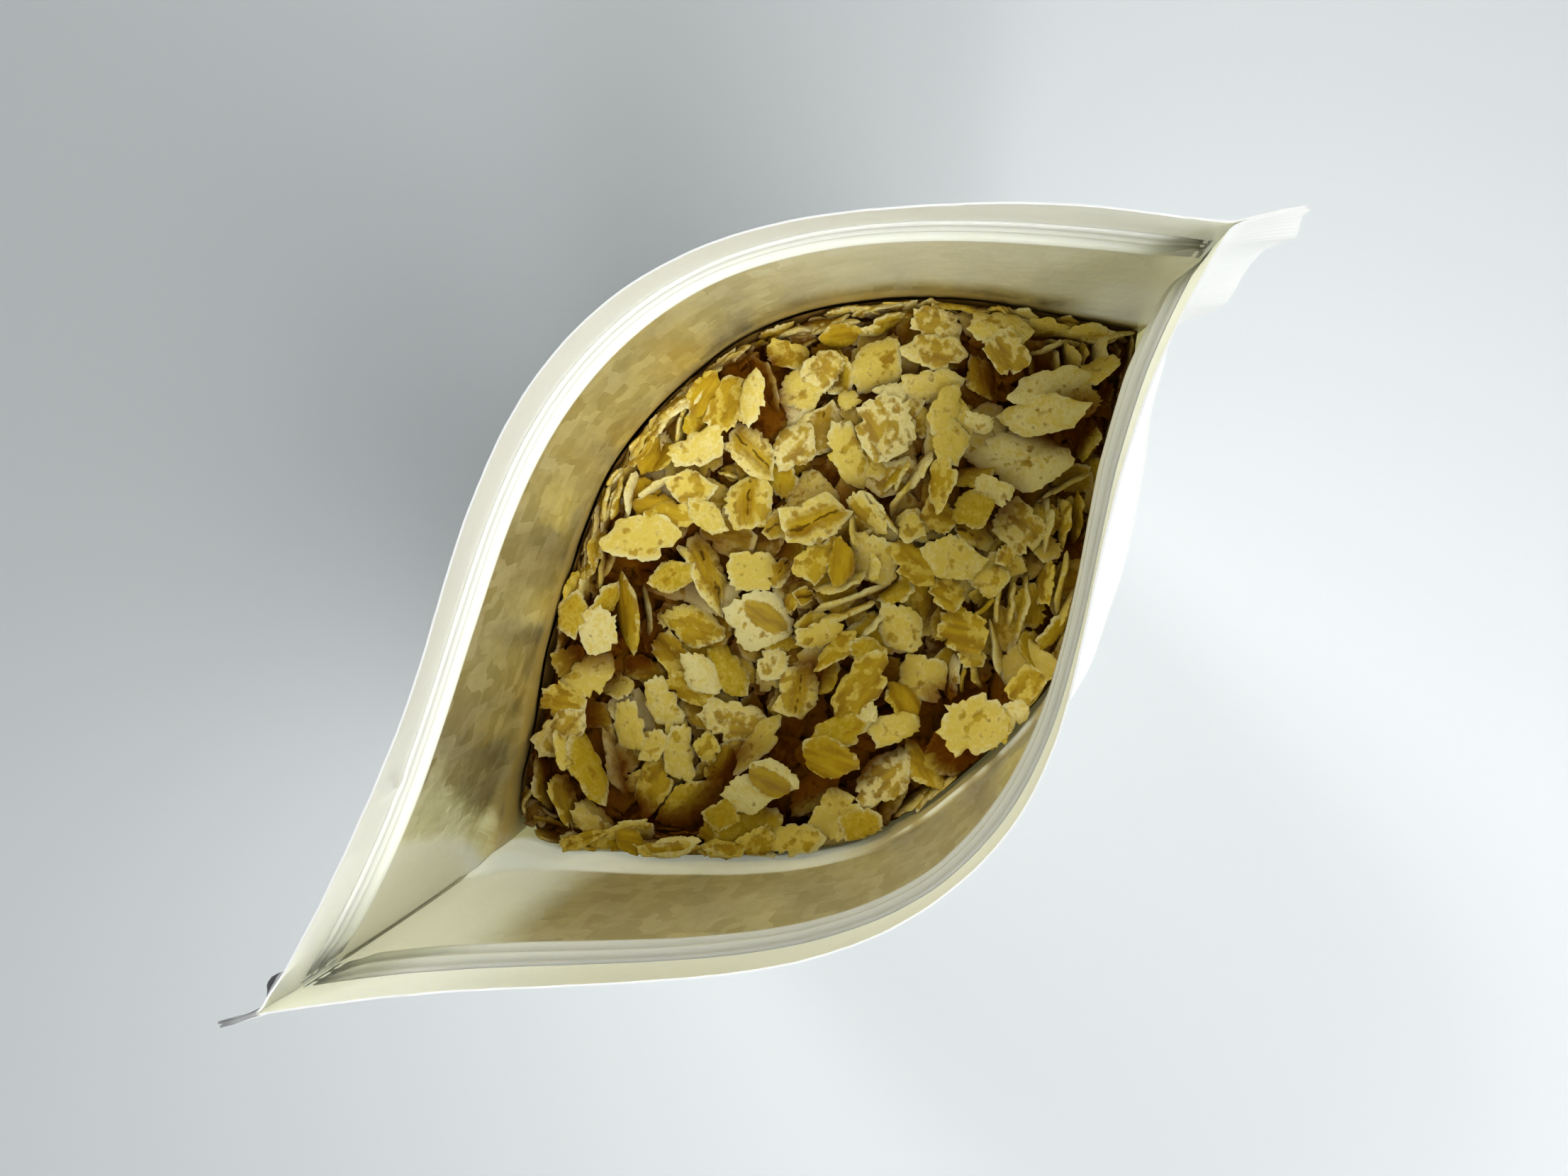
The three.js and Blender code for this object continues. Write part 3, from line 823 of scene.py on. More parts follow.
core, ball, spoke = new_ball("oats_core", CORE_SEGMENTS, CORE_RINGS)
ring = np.rint(np.arccos(np.clip(-ball[:, 2], -1, 1)) / math.pi * CORE_RINGS).astype(int)
turn = (spoke + CORE_SEGMENTS // 2) % CORE_SEGMENTS
core_edge = core_outline(OATS_LEVEL - CORE_DEPTH)
edge_top = heap_top(*core_edge.T) - CORE_DEPTH + CORE_RIM
points = np.zeros_like(ball)
for r in range(CORE_RINGS + 1):
    here = ring == r
    if r <= 1:
        outline = FOOT_MIDDLE + (core_outline(0) - FOOT_MIDDLE) * GUSSET_REST * r
        points[here, :2] = outline[turn[here]]
        points[here, 2] = CORE_FOOT
    elif r <= CORE_WALL_RINGS:
        low = SEAL_HEIGHT + 1.5
        climb = (r - 2) / (CORE_WALL_RINGS - 2)
        height = low + (edge_top[turn[here]] - low) * climb
        outlines = [core_outline(z) for z in height]
        points[here, :2] = np.array([o[t] for o, t in zip(outlines, turn[here])])
        points[here, 2] = height
    else:
        share = ((CORE_RINGS - r) / (CORE_RINGS - CORE_WALL_RINGS)) ** 0.6
        middle = core_edge.mean(0)
        inner = middle + (core_edge[turn[here]] - middle) * share
        points[here, :2] = inner
        in_from_edge = np.linalg.norm(core_edge[turn[here]] - inner, axis=1)
        rim = CORE_RIM * (1 - rise(in_from_edge, 0, CORE_RIM_WIDTH))
        points[here, 2] = heap_top(*inner.T) - CORE_DEPTH + rim + 0.9 * ripple(*inner.T, 3.2, 61)
set_points(core, points)
core.data.materials.append(core_painted_shade())
shade(core, 60)
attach(core, "root")
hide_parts("oats")


# Flakes. Each is a steamed groat rolled flat: a thin, slightly curled oval with a floury,
# ragged edge, brown bran left in patches and often a dark crease. Many are cut or broken.
# They lie as they settled when they were poured in, many of them on edge.
FLAKE_SEGMENTS = 56
FLAKE_RINGS = 6
OVAL_SHARE = 0.15
TEETH = 0.042
# How many shapes of a form there are, its length, width and thickness, how far from the
# middle its ends are cut straight, how ragged its edge is, how deep its crease is, and
# how common it is.
FLAKE_FORMS = {
    "oval": (4, 10.0, 6.8, 0.70, None, 1.0, 0.0, 0.22),
    "creased": (3, 10.4, 6.2, 0.80, None, 0.8, 0.3, 0.18),
    "cut": (4, 8.8, 6.4, 0.65, 3.7, 1.0, 0.0, 0.26),
    "hulled": (2, 9.4, 5.0, 0.85, None, 0.6, 0.0, 0.12),
    "chip": (3, 6.2, 4.4, 0.60, 2.5, 1.3, 0.0, 0.22),
}
# How much bran a flake shows, how floury it is, and whether it has a dark crease or one
# oval of bran left whole.
LOOKS = {
    "cream": (0.15, 0.6, 0, 0),
    "white": (0.05, 0.85, 0, 0),
    "olive": (0.25, 0.1, 0, 0),
    "spots": (0.5, 0.6, 0, 0),
    "golden": (0.85, 0.45, 0, 0),
    "mosaic": (0.72, 0.85, 0, 0),
    "banded": (0.55, 0.7, 1, 0),
    "brown": (0.95, 0.2, 0, 1),
    "husk": (0.05, 0.9, 0, 1),
}
LOOK_SHARES = (0.22, 0.08, 0.17, 0.2, 0.13, 0.05, 0.07, 0.05, 0.03)
RIGHT = np.array([math.cos(math.radians(ROLL)), math.sin(math.radians(ROLL))])
UP = np.array([-RIGHT[1], RIGHT[0]])
# The flakes on top, the lower ones first: right and up from the camera's
# axis, turn, length, width, form, look, and lean where a flake stands on its side.
TOP_FLAKES = (
    # Along the left wall, on edge.
    (-26.8, 5.2, 78, 8.0, 4.5, "oval", "olive", 76), (-25.4, 5.9, 75, 7.5, 4.5, "cut", "cream", 78),
    (-24.1, 5.2, 73, 7.0, 4.0, "oval", "golden", 74), (-22.9, 4.0, 80, 6.5, 4.0, "oval", "cream", 78),
    (-22.9, 10.8, 78, 5.5, 4.0, "cut", "cream", 80), (-21.3, 11.9, 80, 5.8, 4.0, "oval", "golden", 78),
    (-19.8, 12.1, 81, 7.4, 4.5, "oval", "white", 80), (-18.7, 18.4, 65, 5.4, 3.8, "oval", "cream", 76),
    (-17.3, 17.0, 60, 6.0, 3.6, "hulled", "brown", 62), (-15.4, 16.8, 52, 5.0, 3.6, "chip", "brown", 50),
    (-29.6, -0.6, 76, 7.0, 4.0, "oval", "olive", 76), (-30.6, -3.4, 74, 6.0, 3.6, "chip", "cream", 74),
    # Top left.
    (-16.6, 10.2, 15, 6.5, 4.2, "cut", "brown", 20), (-14.6, 9.2, -20, 6.0, 4.4, "oval", "golden", 12),
    (-16.3, 13.1, 32, 6.8, 4.5, "cut", "white", 80), (-12.9, 21.3, 74, 6.0, 4.2, "chip", "cream", 62),
    (-10.9, 21.8, 70, 6.0, 4.0, "cut", "olive", 48), (-10.0, 24.4, 60, 6.6, 4.4, "hulled", "brown", 25),
    (-12.2, 24.8, 41, 10.2, 5.0, "oval", "white", 82), (-7.3, 23.6, 66, 8.8, 4.8, "cut", "golden", 14),
    (-4.2, 24.0, 84, 7.5, 3.8, "oval", "cream", 30), (-2.2, 26.2, -74, 7.4, 4.6, "oval", "spots", 50),
    (2.6, 25.6, 10, 7.0, 5.2, "oval", "cream", 0), (0.6, 30.3, -12, 6.6, 4.0, "cut", "golden", 0),
    (5.1, 28.2, 55, 6.4, 5.0, "cut", "mosaic", 0), (7.1, 32.6, 8, 5.8, 3.4, "hulled", "brown", 40),
    (7.7, 27.6, -84, 7.0, 4.0, "oval", "olive", 66), (5.6, 34.2, 22, 6.2, 4.0, "oval", "cream", 74),
    (11.2, 33.3, 4, 4.6, 3.6, "chip", "cream", 70), (13.5, 34.4, 16, 5.0, 3.6, "oval", "olive", 74),
    (-11.0, 17.9, 24, 8.6, 4.3, "cut", "cream", 0), (-12.0, 13.0, 8, 6.6, 4.5, "oval", "spots", 0),
    (-0.4, 14.2, -50, 6.4, 4.6, "cut", "olive", 0), (-4.1, 17.5, -45, 8.0, 5.4, "creased", "banded", 0),
    (1.6, 18.5, 45, 7.8, 4.9, "oval", "mosaic", 0), (-9.9, 9.3, -28, 6.4, 3.6, "oval", "cream", 0),
    (-4.5, 11.0, 88, 7.4, 6.6, "creased", "banded", 0), (-18.2, 6.5, -5, 9.6, 6.3, "oval", "cream", 0),
    # Top right.
    (39.2, 32.4, -10, 8.4, 4.4, "oval", "cream", 56), (33.5, 30.9, 20, 5.6, 4.0, "cut", "white", 74),
    (31.9, 28.2, 88, 4.6, 3.6, "chip", "olive", 76), (34.5, 28.4, 86, 5.2, 4.2, "cut", "cream", 66),
    (36.7, 29.4, -82, 5.0, 3.8, "oval", "cream", 70), (38.2, 30.0, 86, 4.4, 3.6, "chip", "golden", 76),
    (40.3, 30.2, 84, 4.6, 3.6, "oval", "white", 78), (39.7, 27.6, 38, 7.2, 4.0, "cut", "cream", 42),
    (39.2, 19.6, 70, 6.6, 4.2, "oval", "olive", 60), (41.2, 24.6, 62, 5.6, 3.6, "chip", "golden", 66),
    (27.4, 33.0, 0, 8.4, 5.0, "oval", "cream", 30), (19.5, 33.8, -12, 7.8, 4.6, "cut", "mosaic", 0),
    (25.5, 26.6, -75, 6.8, 3.8, "oval", "golden", 12), (28.3, 29.8, -60, 7.0, 5.4, "cut", "mosaic", 0),
    (18.7, 26.0, 14, 8.6, 4.4, "oval", "cream", 0), (19.3, 30.2, -15, 8.0, 4.8, "oval", "mosaic", 0),
    (12.3, 29.0, 42, 9.0, 5.8, "oval", "cream", 0), (13.6, 24.6, 8, 5.0, 3.4, "chip", "white", 0),
    (22.6, 21.6, -70, 6.4, 3.4, "chip", "cream", 30), (20.5, 22.8, 52, 6.6, 4.0, "oval", "cream", 18),
    (24.6, 20.9, -22, 4.8, 2.8, "chip", "white", 30), (21.3, 18.4, -70, 5.8, 5.0, "oval", "cream", 0),
    (8.3, 17.2, -62, 9.4, 4.8, "oval", "cream", 0), (12.9, 20.6, -60, 9.4, 7.6, "cut", "mosaic", 0),
    (24.6, 14.4, 12, 6.4, 4.0, "oval", "olive", 40), (26.6, 12.6, -24, 6.0, 3.6, "cut", "white", 20),
    (38.0, 23.8, -50, 5.4, 4.4, "chip", "cream", 0), (33.8, 25.6, 8, 10.4, 4.6, "oval", "white", 0),
    (31.2, 16.4, -9, 14.2, 7.2, "oval", "white", 0), (32.6, 22.0, 15, 11.8, 5.4, "oval", "white", 0),
    # Right wall, on edge.
    (35.6, 12.9, 21, 9.4, 4.6, "oval", "cream", 80), (33.5, 7.9, 85, 8.4, 4.4, "oval", "white", 78),
    (35.9, 8.2, 84, 8.0, 4.4, "cut", "golden", 74), (37.4, 8.6, 82, 7.6, 4.2, "oval", "brown", 76),
    (33.3, 0.6, 80, 7.0, 4.2, "cut", "golden", 66), (35.4, 0.8, 78, 7.6, 4.4, "oval", "cream", 76),
    (30.8, -1.8, 76, 10.8, 4.6, "oval", "olive", 74), (29.1, -2.2, 84, 7.6, 4.4, "oval", "cream", 80),
    (27.5, -2.0, 88, 6.6, 4.2, "cut", "cream", 80), (27.7, -8.6, -78, 8.6, 4.4, "oval", "white", 70),
    (25.6, -2.6, 50, 5.4, 3.6, "chip", "olive", 72), (32.0, -8.7, -64, 7.4, 4.6, "cut", "olive", 46),
    (21.6, -11.6, 88, 6.2, 4.0, "oval", "white", 82), (23.1, -11.8, -86, 4.6, 3.8, "chip", "olive", 72),
    (24.8, -11.4, -72, 5.0, 3.8, "oval", "cream", 76), (30.6, -12.2, 50, 6.0, 4.2, "cut", "golden", 10),
    (34.4, -5.6, 55, 6.0, 3.6, "oval", "olive", 60), (29.5, -15.6, 10, 4.0, 3.0, "chip", "white", 0),
    # Middle, on edge.
    (13.9, 14.0, 55, 5.2, 3.6, "cut", "olive", 76), (15.0, 14.4, 57, 4.8, 3.6, "chip", "cream", 78),
    (17.2, 14.8, 60, 6.0, 3.8, "oval", "white", 70), (14.9, 11.6, 56, 5.0, 3.6, "oval", "cream", 76),
    (10.4, 9.2, -52, 7.4, 4.6, "cut", "spots", 60), (11.7, 9.8, -52, 6.4, 4.0, "oval", "white", 78),
    (12.9, 8.8, -54, 6.0, 4.0, "cut", "cream", 76), (8.9, 7.0, -75, 4.6, 3.8, "chip", "cream", 72),
    (11.3, 2.8, -80, 4.8, 3.6, "oval", "cream", 66), (7.2, 0.8, 24, 7.4, 4.2, "oval", "cream", 68),
    (8.8, -1.2, 22, 12.0, 4.8, "oval", "white", 72), (8.2, -3.0, 20, 8.4, 4.4, "cut", "cream", 72),
    (14.4, -0.3, 40, 6.0, 4.2, "cut", "olive", 52), (11.2, -4.8, 47, 5.6, 3.6, "oval", "white", 76),
    # Right of the middle.
    (19.6, 9.2, -30, 5.6, 4.6, "cut", "golden", 10), (19.9, 13.3, 75, 7.4, 4.2, "oval", "spots", 42),
    (24.2, 10.0, 10, 6.2, 4.6, "oval", "olive", 0), (30.3, 7.9, -45, 8.0, 6.4, "cut", "mosaic", 0),
    (16.4, 3.3, -40, 7.6, 4.4, "oval", "golden", 0), (20.8, -0.6, -30, 5.4, 4.4, "cut", "golden", 14),
    (26.6, 1.2, -10, 5.6, 4.4, "oval", "cream", 0), (21.4, 3.9, 4, 8.4, 5.8, "oval", "cream", 0),
    (24.2, -9.0, 0, 4.2, 2.6, "chip", "cream", 0), (22.8, -5.4, -14, 7.6, 5.6, "cut", "golden", 0),
    (15.1, -5.4, -66, 8.0, 5.4, "oval", "cream", 0), (18.0, -11.4, -12, 7.2, 6.4, "cut", "cream", 0),
    # Left of the middle and below.
    (3.8, 3.3, 60, 6.4, 4.6, "cut", "golden", 0), (7.3, 3.1, 85, 6.6, 3.2, "hulled", "brown", 20),
    (-10.0, 2.2, -66, 10.6, 5.4, "creased", "banded", 24), (-14.5, 1.6, 36, 6.4, 4.2, "oval", "olive", 0),
    (4.0, 8.6, 20, 10.8, 6.2, "creased", "banded", 0), (-20.4, -2.9, -82, 11.2, 4.4, "hulled", "brown", 38),
    (-17.7, -2.6, -87, 9.0, 4.6, "oval", "white", 82), (-27.7, -3.4, -80, 6.2, 4.2, "oval", "olive", 0),
    (-23.2, -1.8, 62, 6.0, 3.6, "oval", "olive", 34), (-24.0, -5.4, -70, 7.0, 5.0, "cut", "white", 0),
    (-11.4, -5.1, -26, 9.6, 5.0, "oval", "spots", 0), (-4.2, 2.4, 0, 7.2, 5.6, "cut", "cream", 0),
    (4.4, -5.9, 26, 6.6, 3.8, "oval", "cream", 20), (6.6, -8.0, 38, 6.8, 3.6, "oval", "golden", 34),
    (10.8, -8.2, -26, 6.0, 3.6, "oval", "olive", 0), (-30.6, -10.3, 20, 5.4, 4.4, "cut", "golden", 0),
    (-7.3, -10.7, -46, 8.0, 4.8, "oval", "olive", 0), (-1.4, -9.8, -80, 4.8, 4.2, "cut", "white", 0),
    (-2.8, -4.3, -32, 9.8, 7.4, "oval", "husk", 0), (-14.5, -8.7, -50, 7.4, 4.2, "cut", "golden", 0),
    (-18.4, -10.8, -10, 7.2, 3.6, "cut", "golden", 0), (-12.3, -13.0, -16, 8.0, 4.0, "cut", "golden", 0),
    (-10.6, -11.4, -55, 7.6, 4.0, "oval", "white", 0), (-22.0, -12.8, -30, 5.4, 3.8, "cut", "cream", 0),
    (-25.7, -11.4, 50, 8.0, 5.4, "oval", "cream", 0), (-30.6, -15.6, -8, 7.0, 4.6, "cut", "golden", 0),
    (-16.0, -15.0, -64, 8.0, 4.0, "cut", "cream", 0), (5.7, -11.5, 72, 5.4, 3.4, "oval", "olive", 56),
    (1.9, -13.2, 76, 8.8, 5.8, "creased", "banded", 0), (9.7, -12.6, 50, 11.4, 5.4, "oval", "golden", 0),
    (15.2, -14.3, -55, 7.0, 3.8, "hulled", "brown", 20), (10.8, -16.0, 70, 3.8, 2.6, "chip", "white", 0),
    (-6.4, -17.2, -8, 10.0, 5.6, "oval", "mosaic", 0), (7.1, -18.4, 10, 8.0, 4.4, "oval", "olive", 0),
    # Lower left.
    (-20.4, -18.2, -76, 7.8, 4.0, "cut", "cream", 10), (-17.0, -20.6, 60, 5.4, 3.4, "chip", "cream", 20),
    (-31.0, -19.8, 50, 8.4, 5.2, "oval", "mosaic", 0), (-28.0, -21.6, -70, 6.4, 3.8, "oval", "cream", 30),
    (-31.6, -26.4, -80, 8.4, 4.4, "oval", "olive", 56), (-28.6, -28.0, -66, 8.4, 4.2, "cut", "golden", 44),
    (-25.4, -23.2, -62, 10.6, 5.0, "oval", "olive", 36), (-17.2, -26.0, 60, 7.6, 5.0, "oval", "golden", 20),
    (-21.8, -24.3, -72, 11.8, 5.0, "oval", "white", 80), (-10.0, -20.8, -80, 5.4, 3.6, "chip", "spots", 0),
    (-24.6, -30.2, -40, 7.0, 4.0, "oval", "cream", 30), (-20.0, -31.4, 10, 7.4, 3.8, "cut", "cream", 30),
    (-13.7, -21.6, -88, 8.4, 4.0, "cut", "cream", 0), (-12.3, -28.0, 42, 10.0, 5.4, "oval", "olive", 0),
    (-15.0, -34.0, 8, 8.0, 4.0, "oval", "golden", 40), (-10.0, -36.0, -30, 6.4, 4.4, "cut", "brown", 20),
    # Lower middle and right.
    (-4.5, -31.9, 10, 10.4, 6.0, "oval", "olive", 0), (-8.0, -29.0, 30, 5.6, 4.0, "cut", "olive", 0),
    (0.8, -36.2, 6, 8.0, 4.4, "oval", "cream", 20), (-3.4, -20.2, 46, 9.0, 4.0, "oval", "cream", 40),
    (-4.2, -26.4, -10, 7.4, 4.8, "oval", "white", 0), (-1.7, -24.4, -26, 7.0, 4.4, "hulled", "husk", 0),
    (14.1, -18.0, 24, 8.0, 4.2, "cut", "cream", 14), (5.5, -21.6, -26, 8.0, 4.6, "hulled", "brown", 14),
    (19.2, -24.1, -62, 8.8, 4.6, "oval", "golden", 20), (24.4, -24.0, 46, 10.0, 6.4, "oval", "olive", 0),
    (29.6, -20.6, 55, 6.6, 4.2, "oval", "olive", 20), (23.9, -17.4, 35, 10.2, 7.4, "cut", "cream", 0),
    (4.4, -26.6, 33, 8.8, 4.6, "oval", "cream", 18), (6.6, -29.2, 60, 7.6, 6.2, "cut", "cream", 0),
    (20.4, -30.2, -20, 6.6, 4.4, "oval", "olive", 20), (13.8, -29.6, 62, 8.2, 5.4, "creased", "banded", 0),
    (13.3, -24.3, 42, 10.8, 5.4, "oval", "mosaic", 0), (3.6, -31.6, -40, 12.2, 4.4, "oval", "cream", 80),
    (10.4, -34.4, 20, 6.6, 4.4, "cut", "olive", 0), (-4.2, -35.6, 20, 6.0, 4.0, "chip", "golden", 20),
)


def rolled_outline(draw, angle, length, width, cut, ragged):
    """How far the rim lies from the middle at each angle, and how ragged it is there. The
    outline is partly an oval and partly a many-sided piece with corners, as it broke."""
    bend = draw.uniform(2.0, 2.6)

    def oval_at(way):
        x, y = np.abs(np.cos(way)) * 2 / length, np.abs(np.sin(way)) * 2 / width
        return (x**bend + y**bend) ** (-1 / bend)

    corners = draw.integers(6, 10)
    ways = (np.arange(corners) + draw.uniform(-0.34, 0.34, corners)) * 2 * math.pi / corners
    reaches = oval_at(ways) * draw.uniform(0.8, 1.2, corners)
    k = (np.searchsorted(ways, angle % (2 * math.pi)) - 1) % corners
    to_next = (ways[(k + 1) % corners] - ways[k]) % (2 * math.pi)
    past = (angle - ways[k]) % (2 * math.pi)
    near, far = reaches[k], reaches[(k + 1) % corners]
    sided = near * far * np.sin(to_next) / (near * np.sin(past) + far * np.sin(to_next - past))
    outline = OVAL_SHARE * oval_at(angle) + (1 - OVAL_SHARE) * sided
    if cut:
        for end in (0.0, math.pi):
            toward = np.cos(angle - end - draw.normal(0, 0.2))
            reach = cut * draw.uniform(0.9, 1.1) / np.maximum(toward, 1e-3)
            outline = np.where(toward > 0.05, np.minimum(outline, reach), outline)
    # Teeth, worse along one stretch of the edge, and a few tears.
    worse = 0.5 + 0.9 * np.clip(np.cos(angle - draw.uniform(0, 2 * math.pi)), 0, 1)
    rag = ragged * worse * draw.normal(0, TEETH, len(angle))
    for _ in range(draw.integers(1, 5)):
        at, wide = draw.uniform(0, 2 * math.pi), draw.uniform(0.05, 0.16)
        gap = np.angle(np.exp(1j * (angle - at)))
        rag = rag - ragged * draw.uniform(0.06, 0.3) * np.exp(-((gap / wide) ** 2))
    return outline, rag


def add_flake(name, seed, length, width, thickness, cut, ragged, crease):
    """One flake lying flat on the origin, a ball pressed out. Gives the object, its
    points in millimetres, and the share of the way that each point is to the rim."""
    draw = np.random.default_rng(seed)
    flake, ball, spoke = new_ball(name, FLAKE_SEGMENTS, FLAKE_RINGS)
    out = np.hypot(ball[:, 0], ball[:, 1])
    step = 2 * math.pi / FLAKE_SEGMENTS
    oval, rag = rolled_outline(draw, np.arange(FLAKE_SEGMENTS) * step, length, width, cut, ragged)
    radius = out * oval[spoke] * (1 + rag[spoke] * out**3)
    x, y = radius * np.cos(spoke * step), radius * np.sin(spoke * step)
    half = thickness / 2 * np.abs(ball[:, 2]) ** 0.35 * np.sign(ball[:, 2])
    u, v = 2 * x / length, 2 * y / width
    middle = draw.normal(0, 0.5) * u**2 + draw.normal(0, 0.4) * v**2 + draw.normal(0, 0.35) * u * v
    middle = middle + 0.2 * ripple(x, y, 1.7, seed + 300) * (0.3 + out)
    groove = crease * np.exp(-((y / 0.6) ** 2)) * (1 - rise(np.abs(u), 0.6, 0.9))
    z = middle + half - groove * np.sign(ball[:, 2])
    return flake, np.stack([x, y, z - z.mean()], 1), out


def oat_flake_finish():
    """Cream flour with pale ragged edges, golden bran in soft patches, dark creases, and painted shade deep
    in the heap.
    """
    finish, tree, surface = new_finish("rolled_oat")
    place = flat_millimetres(tree)
    lengthwise, crosswise = along_and_up(place)
    mark = shader(tree, "Attribute", {}, attribute_name="mark").outputs["Color"]
    marks = shader(tree, "SeparateColor", {"Color": mark}).outputs
    bran_share, tone, seed = (marks[k] for k in ("Red", "Green", "Blue"))
    rim, crease, hull, deep = (marked(tree, name) for name in ("rim", "crease", "hull", "deep"))
    # Each flake looks at its own place in the noise.
    shift = shader(tree, "CombineXYZ", {"X": times(seed, 97.0), "Y": times(tone, 61.0), "Z": 0.0})
    own = shader(tree, "VectorMath", {0: place, 1: shift.outputs["Vector"]}, operation="ADD")
    own = own.outputs["Vector"]
    # Bran: wide patches, broken up in soft blotches.
    wide = noise(own, 0.2)
    blotches = noise(own, 0.7)
    fine = noise(own, 1.9, 4, 0.65)
    reach = plus(times(wide, 0.45), times(blotches, 0.75), times(fine, 0.09))
    reach = plus(reach, plus(times(bran_share, 0.22), 0.03))
    bran = ramp(minus(reach, times(reckon("POWER", rim, 4.0), 0.14)), 0.73, 0.85)
    # Smooth bran: one long oval left whole.
    along = times(lengthwise, 0.29)
    across = times(plus(crosswise, times(minus(seed, 0.5), 1.8)), 0.62)
    off_hull = plus(times(along, along), times(across, across), times(fine, 0.9), times(blotches, 0.8))
    bran = larger(bran, times(ramp(off_hull, 1.95, 1.6), hull))
    streaks = shader(tree, "Mapping", {"Vector": own, "Scale": (0.3, 1.3, 1.0)}).outputs["Vector"]
    streak = ramp(noise(streaks, 0.6), 0.35, 0.72)
    golden = blend_colours(streak, (0.58, 0.375, 0.014, 1), (0.33, 0.17, 0.003, 1))
    # Flour: olive where it is thin, cream, and pale on the ragged rim.
    thick = plus(times(blotches, 0.5), times(fine, 0.45), times(tone, 0.6))
    flour = blend_colours(ramp(thick, 0.42, 0.78), (0.54, 0.365, 0.016, 1), (0.83, 0.65, 0.14, 1))
    flour = blend_colours(ramp(thick, 0.78, 1.08), flour, (0.96, 0.86, 0.46, 1))
    pale = times(ramp(rim, 0.72, 0.99), ramp(plus(wide, times(fine, 0.6)), 0.7, 0.95), 0.8)
    flour = blend_colours(pale, flour, (0.88, 0.82, 0.50, 1))
    colour = blend_colours(times(bran, 0.9), flour, golden)
    # Crease: a thin, broken, dark line from end to end, brown to both sides.
    wobble = times(minus(noise(own, 0.4), 0.5), 2.0)
    off_line = reckon("ABSOLUTE", plus(crosswise, wobble))
    near_ends = times(ramp(rim, 0.95, 0.74), crease)
    beside = times(ramp(plus(off_line, times(blotches, 2.0)), 2.6, 1.6), near_ends, 0.85)
    colour = blend_colours(beside, colour, golden)
    line = times(ramp(off_line, 0.26, 0.04), near_ends, ramp(blotches, 0.42, 0.54))
    colour = blend_colours(times(line, 0.85), colour, (0.12, 0.05, 0.004, 1))
    # Painted shade: deep in the heap every colour is multiplied darker and browner.
    painted_shade_colour = blend_colours(deep, (1, 1, 1, 1), (0.24, 0.10, 0.008, 1))
    colour = shader(
        tree, "Mix", {0: 1.0, 6: colour, 7: painted_shade_colour}, data_type="RGBA", blend_type="MULTIPLY"
    ).outputs[2]
    lumps = plus(times(fine, 0.8), times(blotches, 0.7), times(wide, 1.2))
    set_inputs(surface, {
        "Base Color": colour,
        "Roughness": 0.7,
        "Specular IOR Level": 0.05,
        "Normal": bumps(plus(lumps, times(bran, -0.12), times(line, -0.6)), 0.8, 0.0004),
    })
    return finish


# The heap's height is kept on a fine grid while the flakes settle on it one by one.
CELL = 0.5
SUNK_SHARE = 0.93
WALL_GAP = 0.2
grid_x = np.arange(-62, 66, CELL)
grid_y = np.arange(-42, 42, CELL)
cell_x, cell_y = np.meshgrid(grid_x, grid_y, indexing="ij")


def inside_outline(outline):
    """Which cells lie inside a closed outline, and how far each is from it."""
    x, y = cell_x.ravel(), cell_y.ravel()
    inside = np.zeros(len(x), bool)
    distance = np.full(len(x), np.inf)
    for (x0, y0), (x1, y1) in zip(outline, np.roll(outline, -1, 0)):
        if y0 != y1:
            crosses = (y0 > y) != (y1 > y)
            inside ^= crosses & (x < x0 + (y - y0) * (x1 - x0) / (y1 - y0))
        distance = np.minimum(distance, np.hypot(x - x0, y - y0))
    return inside.reshape(cell_x.shape), distance.reshape(cell_x.shape)


free = np.ones(cell_x.shape, bool)
wall_distance = np.full(cell_x.shape, np.inf)
for level in (-4, -1, 2):
    inside, distance = inside_outline(wall_outline(OATS_LEVEL + level, 130))
    free &= inside & (distance > WALL_GAP)
    wall_distance = np.minimum(wall_distance, distance)
top_wanted = heap_top(cell_x, cell_y)
core_height = top_wanted - CORE_DEPTH + CORE_RIM * (1 - rise(wall_distance, 0, CORE_RIM_WIDTH))
heap_height = np.where(free, core_height, top_wanted)
heap_middle = np.array([cell_x[free].mean(), cell_y[free].mean()])

draw = np.random.default_rng(2024)
shapes = []
for form, (number, *sizes, common) in FLAKE_FORMS.items():
    for k in range(number):
        flake, points, out = add_flake(f"flakes_{form}_{k + 1}", 100 + len(shapes), *sizes)
        shapes.append(dict(
            object=flake, points=points, out=out, form=form, copies=[],
            size=np.array(sizes[:2]), common=common / number,
        ))
how_common = np.array([shape["common"] for shape in shapes])


def turned(points, stretch, turn, tilt, axis):
    """Points stretched, turned about Z, and then tilted about a level axis at an angle."""
    c, s = math.cos(turn), math.sin(turn)
    spun = (points * stretch) @ np.array([[c, s, 0], [-s, c, 0], [0, 0, 1]])
    k = np.array([math.cos(axis), math.sin(axis), 0.0])
    ct, st = math.cos(tilt), math.sin(tilt)
    return spun * ct + np.cross(k, spun) * st + np.outer(spun @ k, k) * (1 - ct)


def posed(shape, pose):
    """A shape's points in a pose, and halfway points so that no cell is missed."""
    points = turned(shape["points"], *pose)
    return np.concatenate([points, (points[:-1] + points[1:]) / 2])


def nearest_cells(points):
    """The column and row of the cell that each point is over."""
    i = np.rint((points[:, 0] - grid_x[0]) / CELL).astype(int)
    j = np.rint((points[:, 1] - grid_y[0]) / CELL).astype(int)
    return i, j


def cells_under(points, spot):
    """The cells that a turned flake covers at a spot, or None if it isn't in the clear."""
    i, j = nearest_cells(points[:, :2] + spot)
    if i.min() < 0 or j.min() < 0 or i.max() >= len(grid_x) or j.max() >= len(grid_y):
        return None
    return (i, j) if free[i, j].all() else None


